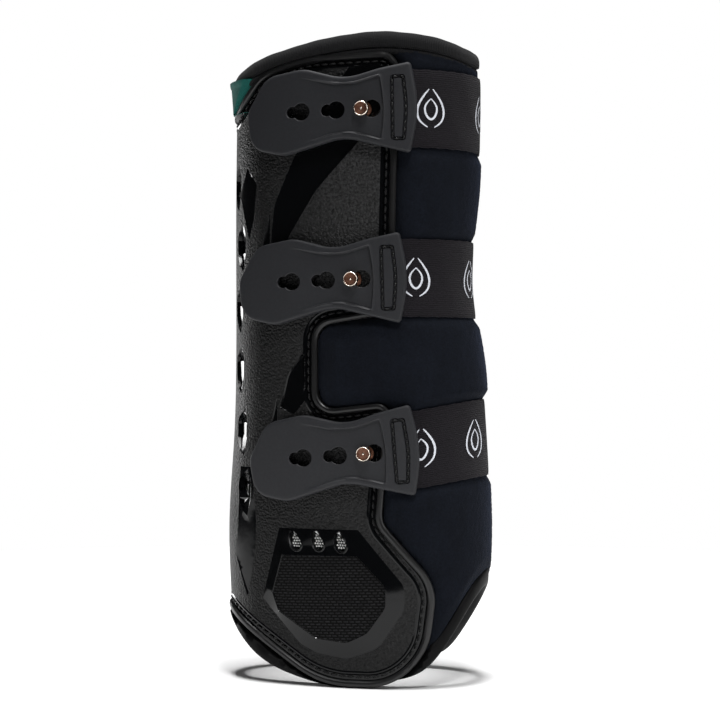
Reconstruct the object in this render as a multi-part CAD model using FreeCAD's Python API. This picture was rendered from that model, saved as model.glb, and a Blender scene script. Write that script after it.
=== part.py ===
import FreeCAD, Part
import math
import os
from FreeCAD import Vector

# A horse's tendon boot for one front leg, in millimetres, standing upright.
# +X is the front of the leg, -X the tendon, -Y the outside (lateral) and +Y the inside (medial).
# The origin is on the axis of the leg's channel, level with the boot's lowest edge.
os.makedirs("parts", exist_ok=True)

# The form: a tube whose plan is an egg of four arcs. The two side arcs are the same at every
# height, so a strap's tab slides round them; the front and back arcs follow SECTIONS.
SIDE_RADIUS = 155.0
SIDE_CENTRE = Vector(12.0, 115.0, 0)        # of the lateral arc; the medial one is its mirror
SECTIONS = (                                 # height, reach of the front, reach of the back
    (-12.0, 59.0, 59.0),
    (30.0, 61.0, 60.5),
    (72.0, 62.0, 62.0),
    (114.0, 59.5, 59.5),
    (152.0, 57.0, 58.5),
    (188.0, 52.8, 58.5),
    (226.0, 55.5, 58.5),
    (264.0, 56.5, 58.0),
    (312.0, 57.5, 57.0),
)
TYPICAL_REACH = 59.0                         # of the back, along the tendon vents
WIDE, LOW, HIGH = 90.0, -20.0, 320.0         # half width, bottom and top of a block past every face

# Depths of the layers, measured outward from the shell's outer face
SHELL_INNER = -2.5
RIM_TOP = 0.8
RIM_WIDTH = 3.0
MESH_OUTER, MESH_INNER = -2.6, -3.1
NEOPRENE_UNDER_SHELL = -2.6
NEOPRENE_OUTER, NEOPRENE_INNER = 0.7, -8.0
LINING_OUTER, LINING_INNER = -8.1, -9.2
TENDON_PAD_OUTER, TENDON_PAD_INNER = -3.2, -5.5
ROLL_OUTER, ROLL_INNER = 1.0, -9.6
STRIKE_PAD_OUTER, STRIKE_PAD_INNER = 0.3, -0.8
ELASTIC_INNER, ELASTIC_OUTER = 1.1, 2.4
TAB_INNER, TAB_OUTER = 1.3, 4.5
TAB_SEWN_INNER = 2.7
LABEL_OUTER, LABEL_INNER = 2.2, 1.1
THREAD = 0.35
GAP = 0.1                                    # between pieces that lie against each other

# Outlines seen from the side, as x, z and the radius of the corner
SHELL_OUTLINE = (
    (-75, 263, 0), (-56, 266, 12), (-38, 284, 22), (-14, 290, 60), (29.5, 291, 4), (26.5, 171, 5),
    (-9, 165.5, 8), (-9, 127, 8), (26, 131, 6), (21.5, 76, 10), (46, 48, 24), (40, 0.6, 29),
    (-8, 0.6, 50), (-60, 33, 20), (-75, 35, 0),
)
SHIELD_PANEL = (
    (-26, 61.5, 1), (10.5, 61, 1), (23.5, 47, 2), (23.5, 37, 2), (15, 25, 3), (5, 21, 4),
    (-9, 22.5, 4), (-28, 35.5, 2), (-31, 43, 2),
)
TOP_EDGE = ((-75, 278), (-42.5, 290), (-14, 296.6), (14, 300), (36, 299.3), (54, 295.8), (75, 286))
TOP_ROLL_HEIGHT = 9.0
BOTTOM_EDGE = (
    (-75, 47), (-62, 34.5), (-44, 15.5), (-20, 4), (6, 0), (30, 4.5), (42, 11.5), (50, 26), (57, 43),
    (75, 80),
)
BOTTOM_BINDING_HEIGHT = 9.0
LABEL_OUTLINE = ((-57, 266, 0.5), (-47.5, 276, 0.5), (-43.5, 280.5, 0.5), (-58.5, 277, 0.5))
STITCH_INSET, STITCH_WIDTH = 4.4, 0.9

# Vents: centre x and z, half length, half width, and lean of the long axis from the vertical
SHIELD_VENTS = ((-20, 67.6), (-8.8, 67.4), (1.8, 66.8))
SHIELD_VENT_SIZE = (4.4, 2.6, 25)
TENDON_VENT_HEIGHTS = [89 + 28 * i for i in range(6)]
TENDON_VENT_SIZE = (9.0, 2.6, 8)
MESH_MARGIN, PAD_MARGIN = 12.0, 14.0         # past the lowest and highest tendon vents' centres
TENDON_VENT_BEARING = 227.0                  # of the face they pierce, in degrees round the back arc

# Fastenings: the tab's small and large keyhole lobes, and the stud that they hook on
LOBE_SMALL, LOBE_LARGE, LOBE_STEP = 2.6, 4.0, 4.1
KEYHOLES, KEYHOLE_PITCH = 3, 16.8
STUD_NECK, STUD_HEAD, STUD_HEAD_TOP, STUD_HEAD_HEIGHT = 2.2, 3.5, 6.9, 2.0
STUD_SHANK, FLANGE_RADIUS, FLANGE_HEIGHT = 1.5, 3.8, 0.8
BACKPLATE_RADIUS, BACKPLATE_HEIGHT, BACKPLATE_OUTER = 6.0, 0.9, -2.65
ELASTIC_WIDTH = 35.5
HINGE_BEARING = -45.0                        # round the front arc, where an open strap bends
HINGE_REACH = {"top": 42.6, "middle": 43.8, "bottom": 43.1}    # of its axis from the arc's centre
HINGE_GAP = 1.0                              # between the two lengths of elastic
STRAP_FRONT_REACH = 56.5                     # the form's usual front reach at a strap
KNEE_STEP = 22.0                             # from the stud forward to where an elastic turns
ELASTIC_SEWN_X = 25.5                        # where the elastic ends under the tab
ANCHOR_X = (6.0, 22.0)                       # the strap's sewn end on the medial side
ANCHOR_HEIGHT, ANCHOR_OUTER = 39.0, 4.0
TAB_RECESS_X = 24.0

# The tab's outline round its stud: along the strap, across it, and the corner's radius
TAB_OUTLINE = (
    (22.4, 20.8, 1.8), (8.0, 18.2, 14), (-8.0, 14.1, 26), (-28.0, 19.8, 18), (-47.0, 17.2, 12),
    (-57.5, 1.0, 9), (-55.6, -15.6, 10), (-38.5, -19.8, 14), (-9.0, -12.6, 24), (21.8, -20.8, 1.8),
    (26.2, 0.0, 60),
)
TAB_STITCH_BOX = ((12.6, -14.6, 1.5), (12.6, 14.6, 1.5), (19.8, 14.6, 1.5), (20.6, 0, 60), (19.8, -14.6, 1.5))

# Each strap: name, the stud's x and z, the tab's slope, and the elastic's rise from side to front
STRAPS = (
    ("top", 13.3, 264.2, 0.8, 0.0),
    ("middle", 8.6, 186.8, 1.6, 0.0),
    ("bottom", 14.3, 107.4, 4.5, 0.2),
)


def reach_radius(reach):
    """Radius of the end arc that is tangent to both side arcs, for its reach from their centre."""
    r, c = SIDE_RADIUS, SIDE_CENTRE.y
    return (r * r - c * c - reach * reach) / (2 * (r - reach))


def end_arcs(front, back):
    """Centre x and radius of the front arc and of the back arc."""
    front_radius = reach_radius(front - SIDE_CENTRE.x)
    back_radius = reach_radius(back + SIDE_CENTRE.x)
    return front - front_radius, front_radius, back_radius - back, back_radius


def egg_wire(height, front, back, offset):
    """The form's plan at one height, grown outward by offset."""
    front_x, front_radius, back_x, back_radius = end_arcs(front, back)
    side = SIDE_RADIUS + offset

    def arc_end(towards_x, sign):
        centre = Vector(SIDE_CENTRE.x, sign * SIDE_CENTRE.y, 0)
        direction = (Vector(towards_x, 0, 0) - centre).normalize()
        return centre + direction * side + Vector(0, 0, height)

    def arc_middle(sign):
        return Vector(SIDE_CENTRE.x, sign * (SIDE_CENTRE.y - side), height)

    front_tip = Vector(front_x + front_radius + offset, 0, height)
    back_tip = Vector(back_x - back_radius - offset, 0, height)
    lateral_front, lateral_back = arc_end(front_x, 1), arc_end(back_x, 1)
    medial_front, medial_back = arc_end(front_x, -1), arc_end(back_x, -1)
    return Part.Wire([
        Part.Arc(lateral_front, arc_middle(1), lateral_back).toShape(),
        Part.Arc(lateral_back, back_tip, medial_back).toShape(),
        Part.Arc(medial_back, arc_middle(-1), medial_front).toShape(),
        Part.Arc(medial_front, front_tip, lateral_front).toShape(),
    ])


FORMS = {}


def form(offset):
    """The solid egg-shaped column whose face lies at this offset."""
    if offset not in FORMS:
        wires = [egg_wire(z, front, back, offset) for z, front, back in SECTIONS]
        FORMS[offset] = Part.makeLoft(wires, True, False)
    return FORMS[offset]


def layer(inner, outer, region):
    """What lies between two offsets inside a region."""
    return region.common(form(outer)).cut(form(inner))


def rounded_wire(points):
    """A closed outline in the XZ plane with an arc at each corner."""
    corners = [Vector(x, 0, z) for x, z, radius in points]
    ends = []
    for i, (x, z, radius) in enumerate(points):
        corner = corners[i]
        back = (corners[i - 1] - corner).normalize()
        ahead = (corners[(i + 1) % len(corners)] - corner).normalize()
        half = back.getAngle(ahead) / 2
        reach = radius / math.tan(half)
        middle = corner + (back + ahead).normalize() * (radius / math.sin(half) - radius)
        ends.append((corner + back * reach, middle, corner + ahead * reach))
    edges = []
    for i, (start, middle, end) in enumerate(ends):
        if points[i][2] > 0:
            edges.append(Part.Arc(start, middle, end).toShape())
        following = ends[(i + 1) % len(ends)][0]
        if (following - end).Length > 1e-6:
            edges.append(Part.makeLine(end, following))
    return Part.Wire(edges)


def prism(wire, half=WIDE):
    """A closed XZ outline extended along Y through the whole boot."""
    face = Part.Face(wire)
    face.translate(Vector(0, -half, 0))
    return face.extrude(Vector(0, 2 * half, 0))


def inset(wire, distance):
    return wire.makeOffset2D(-distance)


def block(low, high):
    size = Vector(*high) - Vector(*low)
    return Part.makeBox(size.x, size.y, size.z, Vector(*low))


def half_space(sign):
    """Everything on the lateral (-1) or the medial (1) side."""
    low = -WIDE if sign < 0 else 0.05
    high = -0.05 if sign < 0 else WIDE
    return block((-WIDE, low, LOW), (WIDE, high, HIGH))


def edge_curve(points, lift):
    curve = Part.BSplineCurve()
    curve.interpolate([Vector(x, 0, z + lift) for x, z in points])
    return curve.toShape()


def between_edges(bottom_lift, top_drop):
    """The boot's side view, with its bottom edge raised and its top edge lowered."""
    low = edge_curve(BOTTOM_EDGE, bottom_lift)
    high = edge_curve(TOP_EDGE, -top_drop)
    front = Part.makeLine(low.Vertexes[-1].Point, high.Vertexes[-1].Point)
    back = Part.makeLine(high.Vertexes[0].Point, low.Vertexes[0].Point)
    return prism(Part.Wire([low, front, high, back]))


def side_normal(x):
    """Outward direction of the lateral side arc at x."""
    lean = (x - SIDE_CENTRE.x) / SIDE_RADIUS
    return Vector(lean, -math.sqrt(1 - lean * lean), 0)


def on_side(x, z, offset):
    """The point at this offset from the lateral face, out from the face's point at x."""
    return SIDE_CENTRE + side_normal(x) * (SIDE_RADIUS + offset) + Vector(0, 0, z)


def ellipse_prism(centre, direction, size, half):
    """An upright elliptical hole along a level direction."""
    length, width, lean = size
    tilt = math.radians(lean)
    across = direction.cross(Vector(0, 0, 1)).normalize()
    long_axis = Vector(0, 0, 1) * math.cos(tilt) + across * math.sin(tilt)
    short_axis = direction.cross(long_axis)
    start = centre - direction * half
    ellipse = Part.Ellipse(start + long_axis * length, start + short_axis * width, start)
    return Part.Face(Part.Wire(ellipse.toShape())).extrude(direction * 2 * half)


def mirrored(shape):
    return shape.mirror(Vector(0, 0, 0), Vector(0, 1, 0))


def save(name, shape):
    shape.exportStep("parts/" + name + ".step")


def vent_cutters():
    """Holes through the shell, on both sides: three in each shield and six by the tendon."""
    cutters = []
    for x, z in SHIELD_VENTS:
        cutters.append(ellipse_prism(on_side(x, z, 0), side_normal(x), SHIELD_VENT_SIZE, 8))
    bearing = math.radians(TENDON_VENT_BEARING)
    direction = Vector(math.cos(bearing), math.sin(bearing), 0)
    for z in TENDON_VENT_HEIGHTS:
        back_x, back_radius = end_arcs(TYPICAL_REACH, TYPICAL_REACH)[2:]
        centre = Vector(back_x, 0, z) + direction * back_radius
        cutters.append(ellipse_prism(centre, direction, TENDON_VENT_SIZE, 8))
    return cutters + [mirrored(cutter) for cutter in cutters]


def shank_holes(radius, depth):
    """Where the studs' shanks pass inward from the shell's outer face."""
    return [
        Part.makeCylinder(radius, depth + 2, on_side(x, z, 2), side_normal(x) * -1)
        for name, x, z, slope, rise in STRAPS
    ]


def make_shell():
    outline = rounded_wire(SHELL_OUTLINE)
    shell = layer(SHELL_INNER, RIM_TOP, prism(outline))
    field = prism(inset(outline, RIM_WIDTH))
    shell = shell.cut(field.cut(form(0.0)))
    shell = shell.cut(prism(rounded_wire(SHIELD_PANEL)).cut(form(STRIKE_PAD_INNER)))
    shell = shell.cut(vent_cutters()).cut(shank_holes(STUD_SHANK, 8))
    save("shell", shell)
    for name, side in (("lateral", -1), ("medial", 1)):
        panel = prism(rounded_wire(SHIELD_PANEL)).common(half_space(side))
        save("strike_pad_" + name, layer(STRIKE_PAD_INNER, STRIKE_PAD_OUTER, panel))
    stitch = prism(inset(outline, STITCH_INSET)).cut(prism(inset(outline, STITCH_INSET + STITCH_WIDTH)))
    save("shell_stitching", layer(0.0, THREAD, stitch))


def mesh_regions():
    """Blocks behind the shield's vents and behind the tendon's vents."""
    xs = [x for x, z in SHIELD_VENTS]
    shield = block((min(xs) - 6, -WIDE, 61.0), (max(xs) + 6, WIDE, 74.0))
    low, high = TENDON_VENT_HEIGHTS[0] - MESH_MARGIN, TENDON_VENT_HEIGHTS[-1] + MESH_MARGIN
    tendon = block((-57, -WIDE, low), (-40, WIDE, high))
    return shield, tendon


def tendon_region(margin):
    low, high = TENDON_VENT_HEIGHTS[0] - PAD_MARGIN, TENDON_VENT_HEIGHTS[-1] + PAD_MARGIN
    return block((-75, -WIDE, low - margin), (-34 + margin, WIDE, high + margin))


def make_vent_meshes():
    shield, tendon = mesh_regions()
    for name, side in (("lateral", -1), ("medial", 1)):
        half = half_space(side)
        save("shield_mesh_" + name, layer(MESH_INNER, MESH_OUTER, shield.common(half)))
        save("tendon_mesh_" + name, layer(MESH_INNER, MESH_OUTER, tendon.common(half)))


def make_soft_layers():
    """Neoprene, its lining, the tendon's foam pad and the two padded edges."""
    body = between_edges(BOTTOM_BINDING_HEIGHT + GAP, TOP_ROLL_HEIGHT + GAP)
    neoprene = layer(NEOPRENE_INNER, NEOPRENE_OUTER, body)
    bed = prism(inset(rounded_wire(SHELL_OUTLINE), -2 * GAP)).cut(form(NEOPRENE_UNDER_SHELL))
    neoprene = neoprene.cut(bed)
    shield = mesh_regions()[0]
    neoprene = neoprene.cut(shield.cut(form(MESH_INNER - GAP)))
    neoprene = neoprene.cut(tendon_region(GAP).cut(form(TENDON_PAD_INNER - GAP)))
    neoprene = neoprene.cut(shank_holes(BACKPLATE_RADIUS + GAP, -BACKPLATE_OUTER + BACKPLATE_HEIGHT + GAP))
    save("neoprene_body", neoprene)
    save("tendon_pad", layer(TENDON_PAD_INNER, TENDON_PAD_OUTER, tendon_region(0)))
    save("inner_lining", layer(LINING_INNER, LINING_OUTER, body))
    whole = between_edges(0, 0)
    roll = whole.cut(between_edges(-60, TOP_ROLL_HEIGHT))
    save("top_roll", layer(ROLL_INNER, ROLL_OUTER, roll).cut(bed))
    binding = whole.cut(between_edges(BOTTOM_BINDING_HEIGHT, -60))
    save("bottom_binding", layer(ROLL_INNER, NEOPRENE_OUTER, binding).cut(bed))


def make_label():
    """A plain folded ribbon sewn in above the shell's back corner."""
    lateral = prism(rounded_wire(LABEL_OUTLINE)).common(half_space(-1))
    save("label_ribbon", layer(LABEL_INNER, LABEL_OUTER, lateral))


def make_stud(name, x, z):
    normal = side_normal(x)

    def disc(radius, low, high):
        return Part.makeCylinder(radius, high - low, on_side(x, z, low), normal)

    head_low = STUD_HEAD_TOP - STUD_HEAD_HEIGHT
    head = disc(STUD_HEAD, head_low, STUD_HEAD_TOP)
    rim = [edge for edge in head.Edges if edge.Length < 30 and edge.Closed]
    head = head.makeChamfer(0.4, rim).cut(disc(STUD_HEAD - 1.0, STUD_HEAD_TOP - 0.6, STUD_HEAD_TOP + 1))
    neck = disc(STUD_NECK, FLANGE_HEIGHT, head_low)
    shank = disc(STUD_SHANK, BACKPLATE_OUTER - BACKPLATE_HEIGHT, FLANGE_HEIGHT)
    save("stud_" + name, head.fuse([neck, shank]))
    flange = disc(FLANGE_RADIUS, 0.06, FLANGE_HEIGHT)
    save("stud_flange_" + name, flange.cut(disc(STUD_SHANK, -1, FLANGE_HEIGHT + 1)))
    plate = disc(BACKPLATE_RADIUS, BACKPLATE_OUTER - BACKPLATE_HEIGHT, BACKPLATE_OUTER)
    save("stud_backplate_" + name, plate.cut(disc(STUD_SHANK, -6, 0)))


def front_arc_centre(z):
    """Centre x of the front arc at a height, read off the form itself."""
    cut = form(0.0).slice(Vector(0, 0, 1), z)
    tip = max(v.x for wire in cut for v in wire.discretize(400))
    return tip - reach_radius(STRAP_FRONT_REACH - SIDE_CENTRE.x)


def strap_band(x, z, slope, rise):
    """The elastic's band seen from the side: level or sloping along the tab, then rising."""
    half = ELASTIC_WIDTH / 2
    knee = x + KNEE_STEP
    bend = z + (knee - x) * math.tan(math.radians(slope))
    run = [(-10, bend), (knee, bend), (WIDE, bend + (WIDE - knee) * rise)]
    low = [Vector(px, 0, pz - half) for px, pz in run]
    high = [Vector(px, 0, pz + half) for px, pz in reversed(run)]
    return prism(Part.makePolygon(low + high + low[:1]))


def plan_block(points, low, high):
    wire = Part.makePolygon([Vector(x, y, low) for x, y in points + points[:1]])
    return Part.Face(wire).extrude(Vector(0, 0, high - low))


def make_elastic(name, x, z, slope, rise):
    """The elastic in two lengths: round the front, and the end that swings with the tab."""
    band = strap_band(x, z, slope, rise)
    centre = front_arc_centre(z)
    bearing = math.radians(HINGE_BEARING)
    ray = Vector(math.cos(bearing), math.sin(bearing), 0)
    off = Vector(ray.y, -ray.x, 0) * HINGE_GAP
    far = ray * 2 * WIDE
    front = plan_block([
        (centre, 0), (centre + far.x, far.y), (2 * WIDE, far.y), (2 * WIDE, WIDE),
        (ANCHOR_X[0], WIDE), (ANCHOR_X[0], 0.0),
    ], 0, HIGH)
    start = (ELASTIC_SEWN_X - centre - off.x) / ray.x
    side = plan_block([
        (ELASTIC_SEWN_X, off.y + start * ray.y),
        (centre + off.x + far.x, off.y + far.y),
        (ELASTIC_SEWN_X, off.y + far.y),
    ], 0, HIGH)
    save("elastic_front_" + name, layer(ELASTIC_INNER, ELASTIC_OUTER, band.common(front)))
    save("elastic_side_" + name, layer(ELASTIC_INNER, ELASTIC_OUTER, band.common(side)))
    low, high = z - ANCHOR_HEIGHT / 2, z + ANCHOR_HEIGHT / 2
    anchor = block((ANCHOR_X[0], 0, low), (ANCHOR_X[1], WIDE, high))
    save("strap_anchor_" + name, layer(ELASTIC_OUTER + GAP, ANCHOR_OUTER, anchor))
    hinge = Vector(centre, 0, 0) + ray * HINGE_REACH[name]
    print("strap", name, "opens about the upright axis at x", round(hinge.x, 2), "y", round(hinge.y, 2))


def side_ring(inner, outer, low, high):
    """Part of a tube about the lateral side arc's axis."""
    base = Vector(SIDE_CENTRE.x, SIDE_CENTRE.y, low)
    tube = Part.makeCylinder(SIDE_RADIUS + outer, high - low, base)
    return tube.cut(Part.makeCylinder(SIDE_RADIUS + inner, high - low, base))


def tab_wire(x, z, slope, points):
    """An outline given along and across the strap, turned to its slope and put on its stud."""
    turn = math.radians(slope)
    placed = []
    for along, across, radius in points:
        px = x + along * math.cos(turn) - across * math.sin(turn)
        pz = z + along * math.sin(turn) + across * math.cos(turn)
        placed.append((px, pz, radius))
    return rounded_wire(placed)


def lateral_prism(wire):
    face = Part.Face(wire)
    face.translate(Vector(0, -WIDE, 0))
    return face.extrude(Vector(0, WIDE, 0))


def make_tab(name, x, z, slope):
    ring = side_ring(TAB_INNER, TAB_OUTER, z - 40, z + 40)
    tab = ring.common(lateral_prism(tab_wire(x, z, slope, TAB_OUTLINE)))
    recess = side_ring(0, TAB_SEWN_INNER, z - 40, z + 40)
    tab = tab.cut(recess.common(block((TAB_RECESS_X, -WIDE, z - 40), (WIDE, 0, z + 40))))
    turn = math.radians(slope)
    holes = []
    for i in range(KEYHOLES):
        for lobe, along in ((LOBE_SMALL, 0), (LOBE_LARGE, LOBE_STEP)):
            reach = along - i * KEYHOLE_PITCH
            px, pz = x + reach * math.cos(turn), z + reach * math.sin(turn)
            holes.append(Part.makeCylinder(lobe, 12, on_side(px, pz, -2), side_normal(px)))
    save("tab_" + name, tab.cut(holes))
    box = tab_wire(x, z, slope, TAB_STITCH_BOX)
    thread = lateral_prism(box).cut(lateral_prism(inset(box, STITCH_WIDTH)))
    save("tab_stitching_" + name, side_ring(TAB_OUTER, TAB_OUTER + THREAD, z - 40, z + 40).common(thread))


make_shell()
make_vent_meshes()
make_soft_layers()
make_label()
for strap, stud_x, stud_z, tab_slope, front_rise in STRAPS:
    make_stud(strap, stud_x, stud_z)
    make_elastic(strap, stud_x, stud_z, tab_slope, front_rise)
    make_tab(strap, stud_x, stud_z, tab_slope)
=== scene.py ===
import math
import random

import bmesh
import bpy
import numpy as np
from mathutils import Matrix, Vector
from mathutils.geometry import delaunay_2d_cdt


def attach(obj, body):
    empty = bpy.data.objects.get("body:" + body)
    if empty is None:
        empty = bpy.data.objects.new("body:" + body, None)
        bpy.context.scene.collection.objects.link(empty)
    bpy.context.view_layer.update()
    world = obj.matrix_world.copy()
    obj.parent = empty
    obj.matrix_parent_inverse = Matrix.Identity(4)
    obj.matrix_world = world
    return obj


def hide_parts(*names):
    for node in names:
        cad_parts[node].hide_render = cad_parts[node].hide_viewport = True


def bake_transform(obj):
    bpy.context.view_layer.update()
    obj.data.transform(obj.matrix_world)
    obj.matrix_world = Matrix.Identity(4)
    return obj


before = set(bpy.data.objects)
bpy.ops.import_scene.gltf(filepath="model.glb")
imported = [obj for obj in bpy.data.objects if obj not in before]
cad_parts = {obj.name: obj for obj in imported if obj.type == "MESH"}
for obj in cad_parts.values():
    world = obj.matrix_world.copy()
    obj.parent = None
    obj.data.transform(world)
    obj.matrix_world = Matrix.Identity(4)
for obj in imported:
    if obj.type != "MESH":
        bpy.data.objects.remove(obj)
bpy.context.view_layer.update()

MM = 0.001

# ------------------------------------------------------------------ the boot's form, in millimetres
# Plan: an egg of four arcs. The side arcs stay the same; the front and back follow the height.
SIDE_RADIUS, SIDE_X, SIDE_Y = 155.0, 12.0, 115.0
HEIGHTS = np.array([-12, 30, 72, 114, 152, 188, 226, 264, 312], float)
FRONTS = np.array([59, 61, 62, 59.5, 57, 52.8, 55.5, 56.5, 57.5])
BACKS = np.array([59, 60.5, 62, 59.5, 58.5, 58.5, 58.5, 58, 57])

SHELL_OUTLINE = (
    (-75, 263, 0), (-56, 266, 12), (-38, 284, 22), (-14, 290, 60), (29.5, 291, 8.5), (26.5, 171, 5),
    (-9, 165.5, 8), (-9, 127, 8), (26, 131, 6), (21.5, 76, 10), (46, 48, 24), (40, 0.6, 29),
    (-8, 0.6, 50), (-60, 33, 20), (-75, 35, 0),
)
TOP_EDGE = np.array([
    (-75, 278), (-42.5, 290), (-14, 296.6), (14, 300), (36, 299.3), (54, 295.8), (75, 286),
], float)
BOTTOM_EDGE = np.array([
    (-75, 47), (-62, 34.5), (-44, 15.5), (-20, 4), (6, 0), (30, 4.5), (42, 11.5), (50, 26), (57, 43),
    (75, 80),
], float)
SHELL_BACK, LINING_SKIN = -2.4, -9.2

# each strap: name, the stud's x and z, the tab's slope, the elastic's rise, the first two prints
STRAPS = (
    ("top", 13.3, 264.2, 0.8, 0.0, (31.5, 68.0)),
    ("middle", 8.6, 186.8, 1.6, 0.0, (24.5, 60.0)),
    ("bottom", 14.3, 107.4, 4.5, 0.2, (27.0, 57.0)),
)
ELASTIC_WIDTH, ELASTIC_INNER, ELASTIC_OUTER = 35.5, 1.1, 2.4
KEYHOLE_PITCH, LOBE_STEP, LOBE_SMALL, LOBE_LARGE = 16.8, 4.5, 2.75, 4.0
TAB_INNER, TAB_SEWN_INNER, TAB_OUTER = 1.3, 2.7, 4.5


def smooth_curve(xs, ys):
    """A natural cubic spline through points, as a function."""
    n = len(xs)
    h = np.diff(xs)
    a, b = np.zeros((n, n)), np.zeros(n)
    a[0, 0] = a[-1, -1] = 1
    for i in range(1, n - 1):
        a[i, i - 1:i + 2] = h[i - 1], 2 * (h[i - 1] + h[i]), h[i]
        b[i] = 6 * ((ys[i + 1] - ys[i]) / h[i] - (ys[i] - ys[i - 1]) / h[i - 1])
    m = np.linalg.solve(a, b)

    def at(x):
        x = np.clip(x, xs[0], xs[-1])
        i = np.clip(np.searchsorted(xs, x) - 1, 0, n - 2)
        left, right = xs[i + 1] - x, x - xs[i]
        cubic = (m[i] * left**3 + m[i + 1] * right**3) / (6 * h[i])
        at_left, at_right = ys[i] / h[i] - m[i] * h[i] / 6, ys[i + 1] / h[i] - m[i + 1] * h[i] / 6
        return cubic + at_left * left + at_right * right
    return at


front_reach, back_reach = smooth_curve(HEIGHTS, FRONTS), smooth_curve(HEIGHTS, BACKS)
bottom_edge = smooth_curve(BOTTOM_EDGE[:, 0], BOTTOM_EDGE[:, 1])
top_edge = smooth_curve(TOP_EDGE[:, 0], TOP_EDGE[:, 1])


def end_radius(reach):
    """Radius of the end arc that meets the side arcs smoothly."""
    return (SIDE_RADIUS**2 - SIDE_Y**2 - reach * reach) / (2 * (SIDE_RADIUS - reach))


def egg(z):
    """Front arc, back arc, and the angles where the side arc meets them, at a height."""
    front, back = front_reach(z), back_reach(z)
    rf, rb = end_radius(front - SIDE_X), end_radius(back + SIDE_X)
    fx, bx = front - rf, rb - back
    return fx, rf, bx, rb, np.arctan2(fx - SIDE_X, SIDE_Y), np.arctan2(SIDE_X - bx, SIDE_Y)


def girth(z):
    """How far round it is from the lateral side's middle to the front, and to the back."""
    rf, rb, tf, tb = (egg(z)[i] for i in (1, 3, 4, 5))
    return SIDE_RADIUS * tf + rf * (math.pi / 2 - tf), SIDE_RADIUS * tb + rb * (math.pi / 2 - tb)


def on_form(s, z, offset=0.0):
    """Points s mm round from the lateral side's middle (front is positive), at a height and offset."""
    s, z, offset = np.broadcast_arrays(*(np.asarray(v, float) for v in (s, z, offset)))
    fx, rf, bx, rb, tf, tb = egg(z)
    to_front, to_back = girth(z)
    s1 = np.where(s > to_front, 2 * to_front - s, s)
    s1 = np.where(s < -to_back, -2 * to_back - s, s1)
    side = np.where((s > to_front) | (s < -to_back), -1, 1)
    ahead, behind = s1 > SIDE_RADIUS * tf, s1 < -SIDE_RADIUS * tb
    angle = np.where(ahead, tf + (s1 - SIDE_RADIUS * tf) / rf,
                     np.where(behind, -tb + (s1 + SIDE_RADIUS * tb) / rb, s1 / SIDE_RADIUS))
    cx = np.where(ahead, fx, np.where(behind, bx, SIDE_X))
    cy = np.where(ahead | behind, 0, SIDE_Y)
    r = np.where(ahead, rf, np.where(behind, rb, SIDE_RADIUS)) + offset
    return np.stack([cx + r * np.sin(angle), (cy - r * np.cos(angle)) * side, z], -1)


def round_to(x, z):
    """How far round the lateral half the form's face is at x."""
    fx, rf, bx, rb, tf, tb = egg(z)
    side = SIDE_RADIUS * np.arcsin(np.clip((x - SIDE_X) / SIDE_RADIUS, -1, 1))
    ahead = SIDE_RADIUS * tf + rf * (np.arcsin(np.clip((x - fx) / rf, -1, 1)) - tf)
    behind = -SIDE_RADIUS * tb + rb * (np.arcsin(np.clip((x - bx) / rb, -1, 1)) + tb)
    return np.where(x > fx + rf * np.sin(tf), ahead, np.where(x < bx - rb * np.sin(tb), behind, side))


# ------------------------------------------------------------------ outlines
def rounded(points, inset=0.0, step=1.2):
    """A closed line round an outline with round corners, moved inward by inset."""
    p = np.array([q[:2] for q in points], float)
    n = len(p)
    turn = np.sign(np.sum(p[:, 0] * np.roll(p[:, 1], -1) - np.roll(p[:, 0], -1) * p[:, 1]))
    ahead = np.roll(p, -1, 0) - p
    ahead /= np.linalg.norm(ahead, axis=1)[:, None]
    normal = turn * np.stack([-ahead[:, 1], ahead[:, 0]], 1)
    line = []
    for i in range(n):
        before, after = normal[i - 1], normal[i]
        corner = p[i] + (before + after) / (1 + before @ after) * inset
        bend = turn * (ahead[i - 1][0] * ahead[i][1] - ahead[i - 1][1] * ahead[i][0])
        radius = max(points[i][2] - np.sign(bend) * inset, 0.02) if points[i][2] > 0 else 0.02
        angle = math.acos(float(np.clip(ahead[i - 1] @ ahead[i], -1, 1)))
        reach = radius * math.tan(angle / 2)
        start, end = corner - ahead[i - 1] * reach, corner + ahead[i] * reach
        centre = start + (before * np.sign(bend)) * radius
        count = max(int(max(radius * angle / step, angle / 0.25)), 1)
        for k in range(count + 1):
            t = k / count
            arm = (start - centre) * math.sin((1 - t) * angle) + (end - centre) * math.sin(t * angle)
            line.append(centre + arm / math.sin(angle) if angle > 1e-3 else corner)
    return resample(np.array(line), step)


def resample(line, step):
    """Adds points on a closed line's long stretches."""
    out = []
    for a, b in zip(line, np.roll(line, -1, 0)):
        count = max(int(np.ceil(np.linalg.norm(b - a) / step)), 1)
        if np.linalg.norm(b - a) > 1e-3:
            out += [a + (b - a) * k / count for k in range(count)]
    return np.array(out)


def inside(points, polygon):
    """Which points are inside a polygon."""
    x, y = points[:, 0][:, None], points[:, 1][:, None]
    ax, ay = polygon[:, 0], polygon[:, 1]
    bx, by = np.roll(ax, -1), np.roll(ay, -1)
    crosses = ((ay > y) != (by > y)) & (x < (bx - ax) * (y - ay) / (by - ay + 1e-12) + ax)
    return crosses.sum(1) % 2 == 1


def distance(points, polygon, closed=True):
    """Distance from each point to a line."""
    a = polygon if closed else polygon[:-1]
    d = (np.roll(polygon, -1, 0) if closed else polygon[1:]) - a
    best = np.full(len(points), 1e9)
    for start in range(0, len(points), 4000):
        q = points[start:start + 4000, None] - a[None]
        t = np.clip((q * d).sum(2) / (d * d).sum(1), 0, 1)
        best[start:start + 4000] = np.linalg.norm(q - d * t[..., None], axis=2).min(1)
    return best


SHELL_LINE = rounded(SHELL_OUTLINE)


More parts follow.
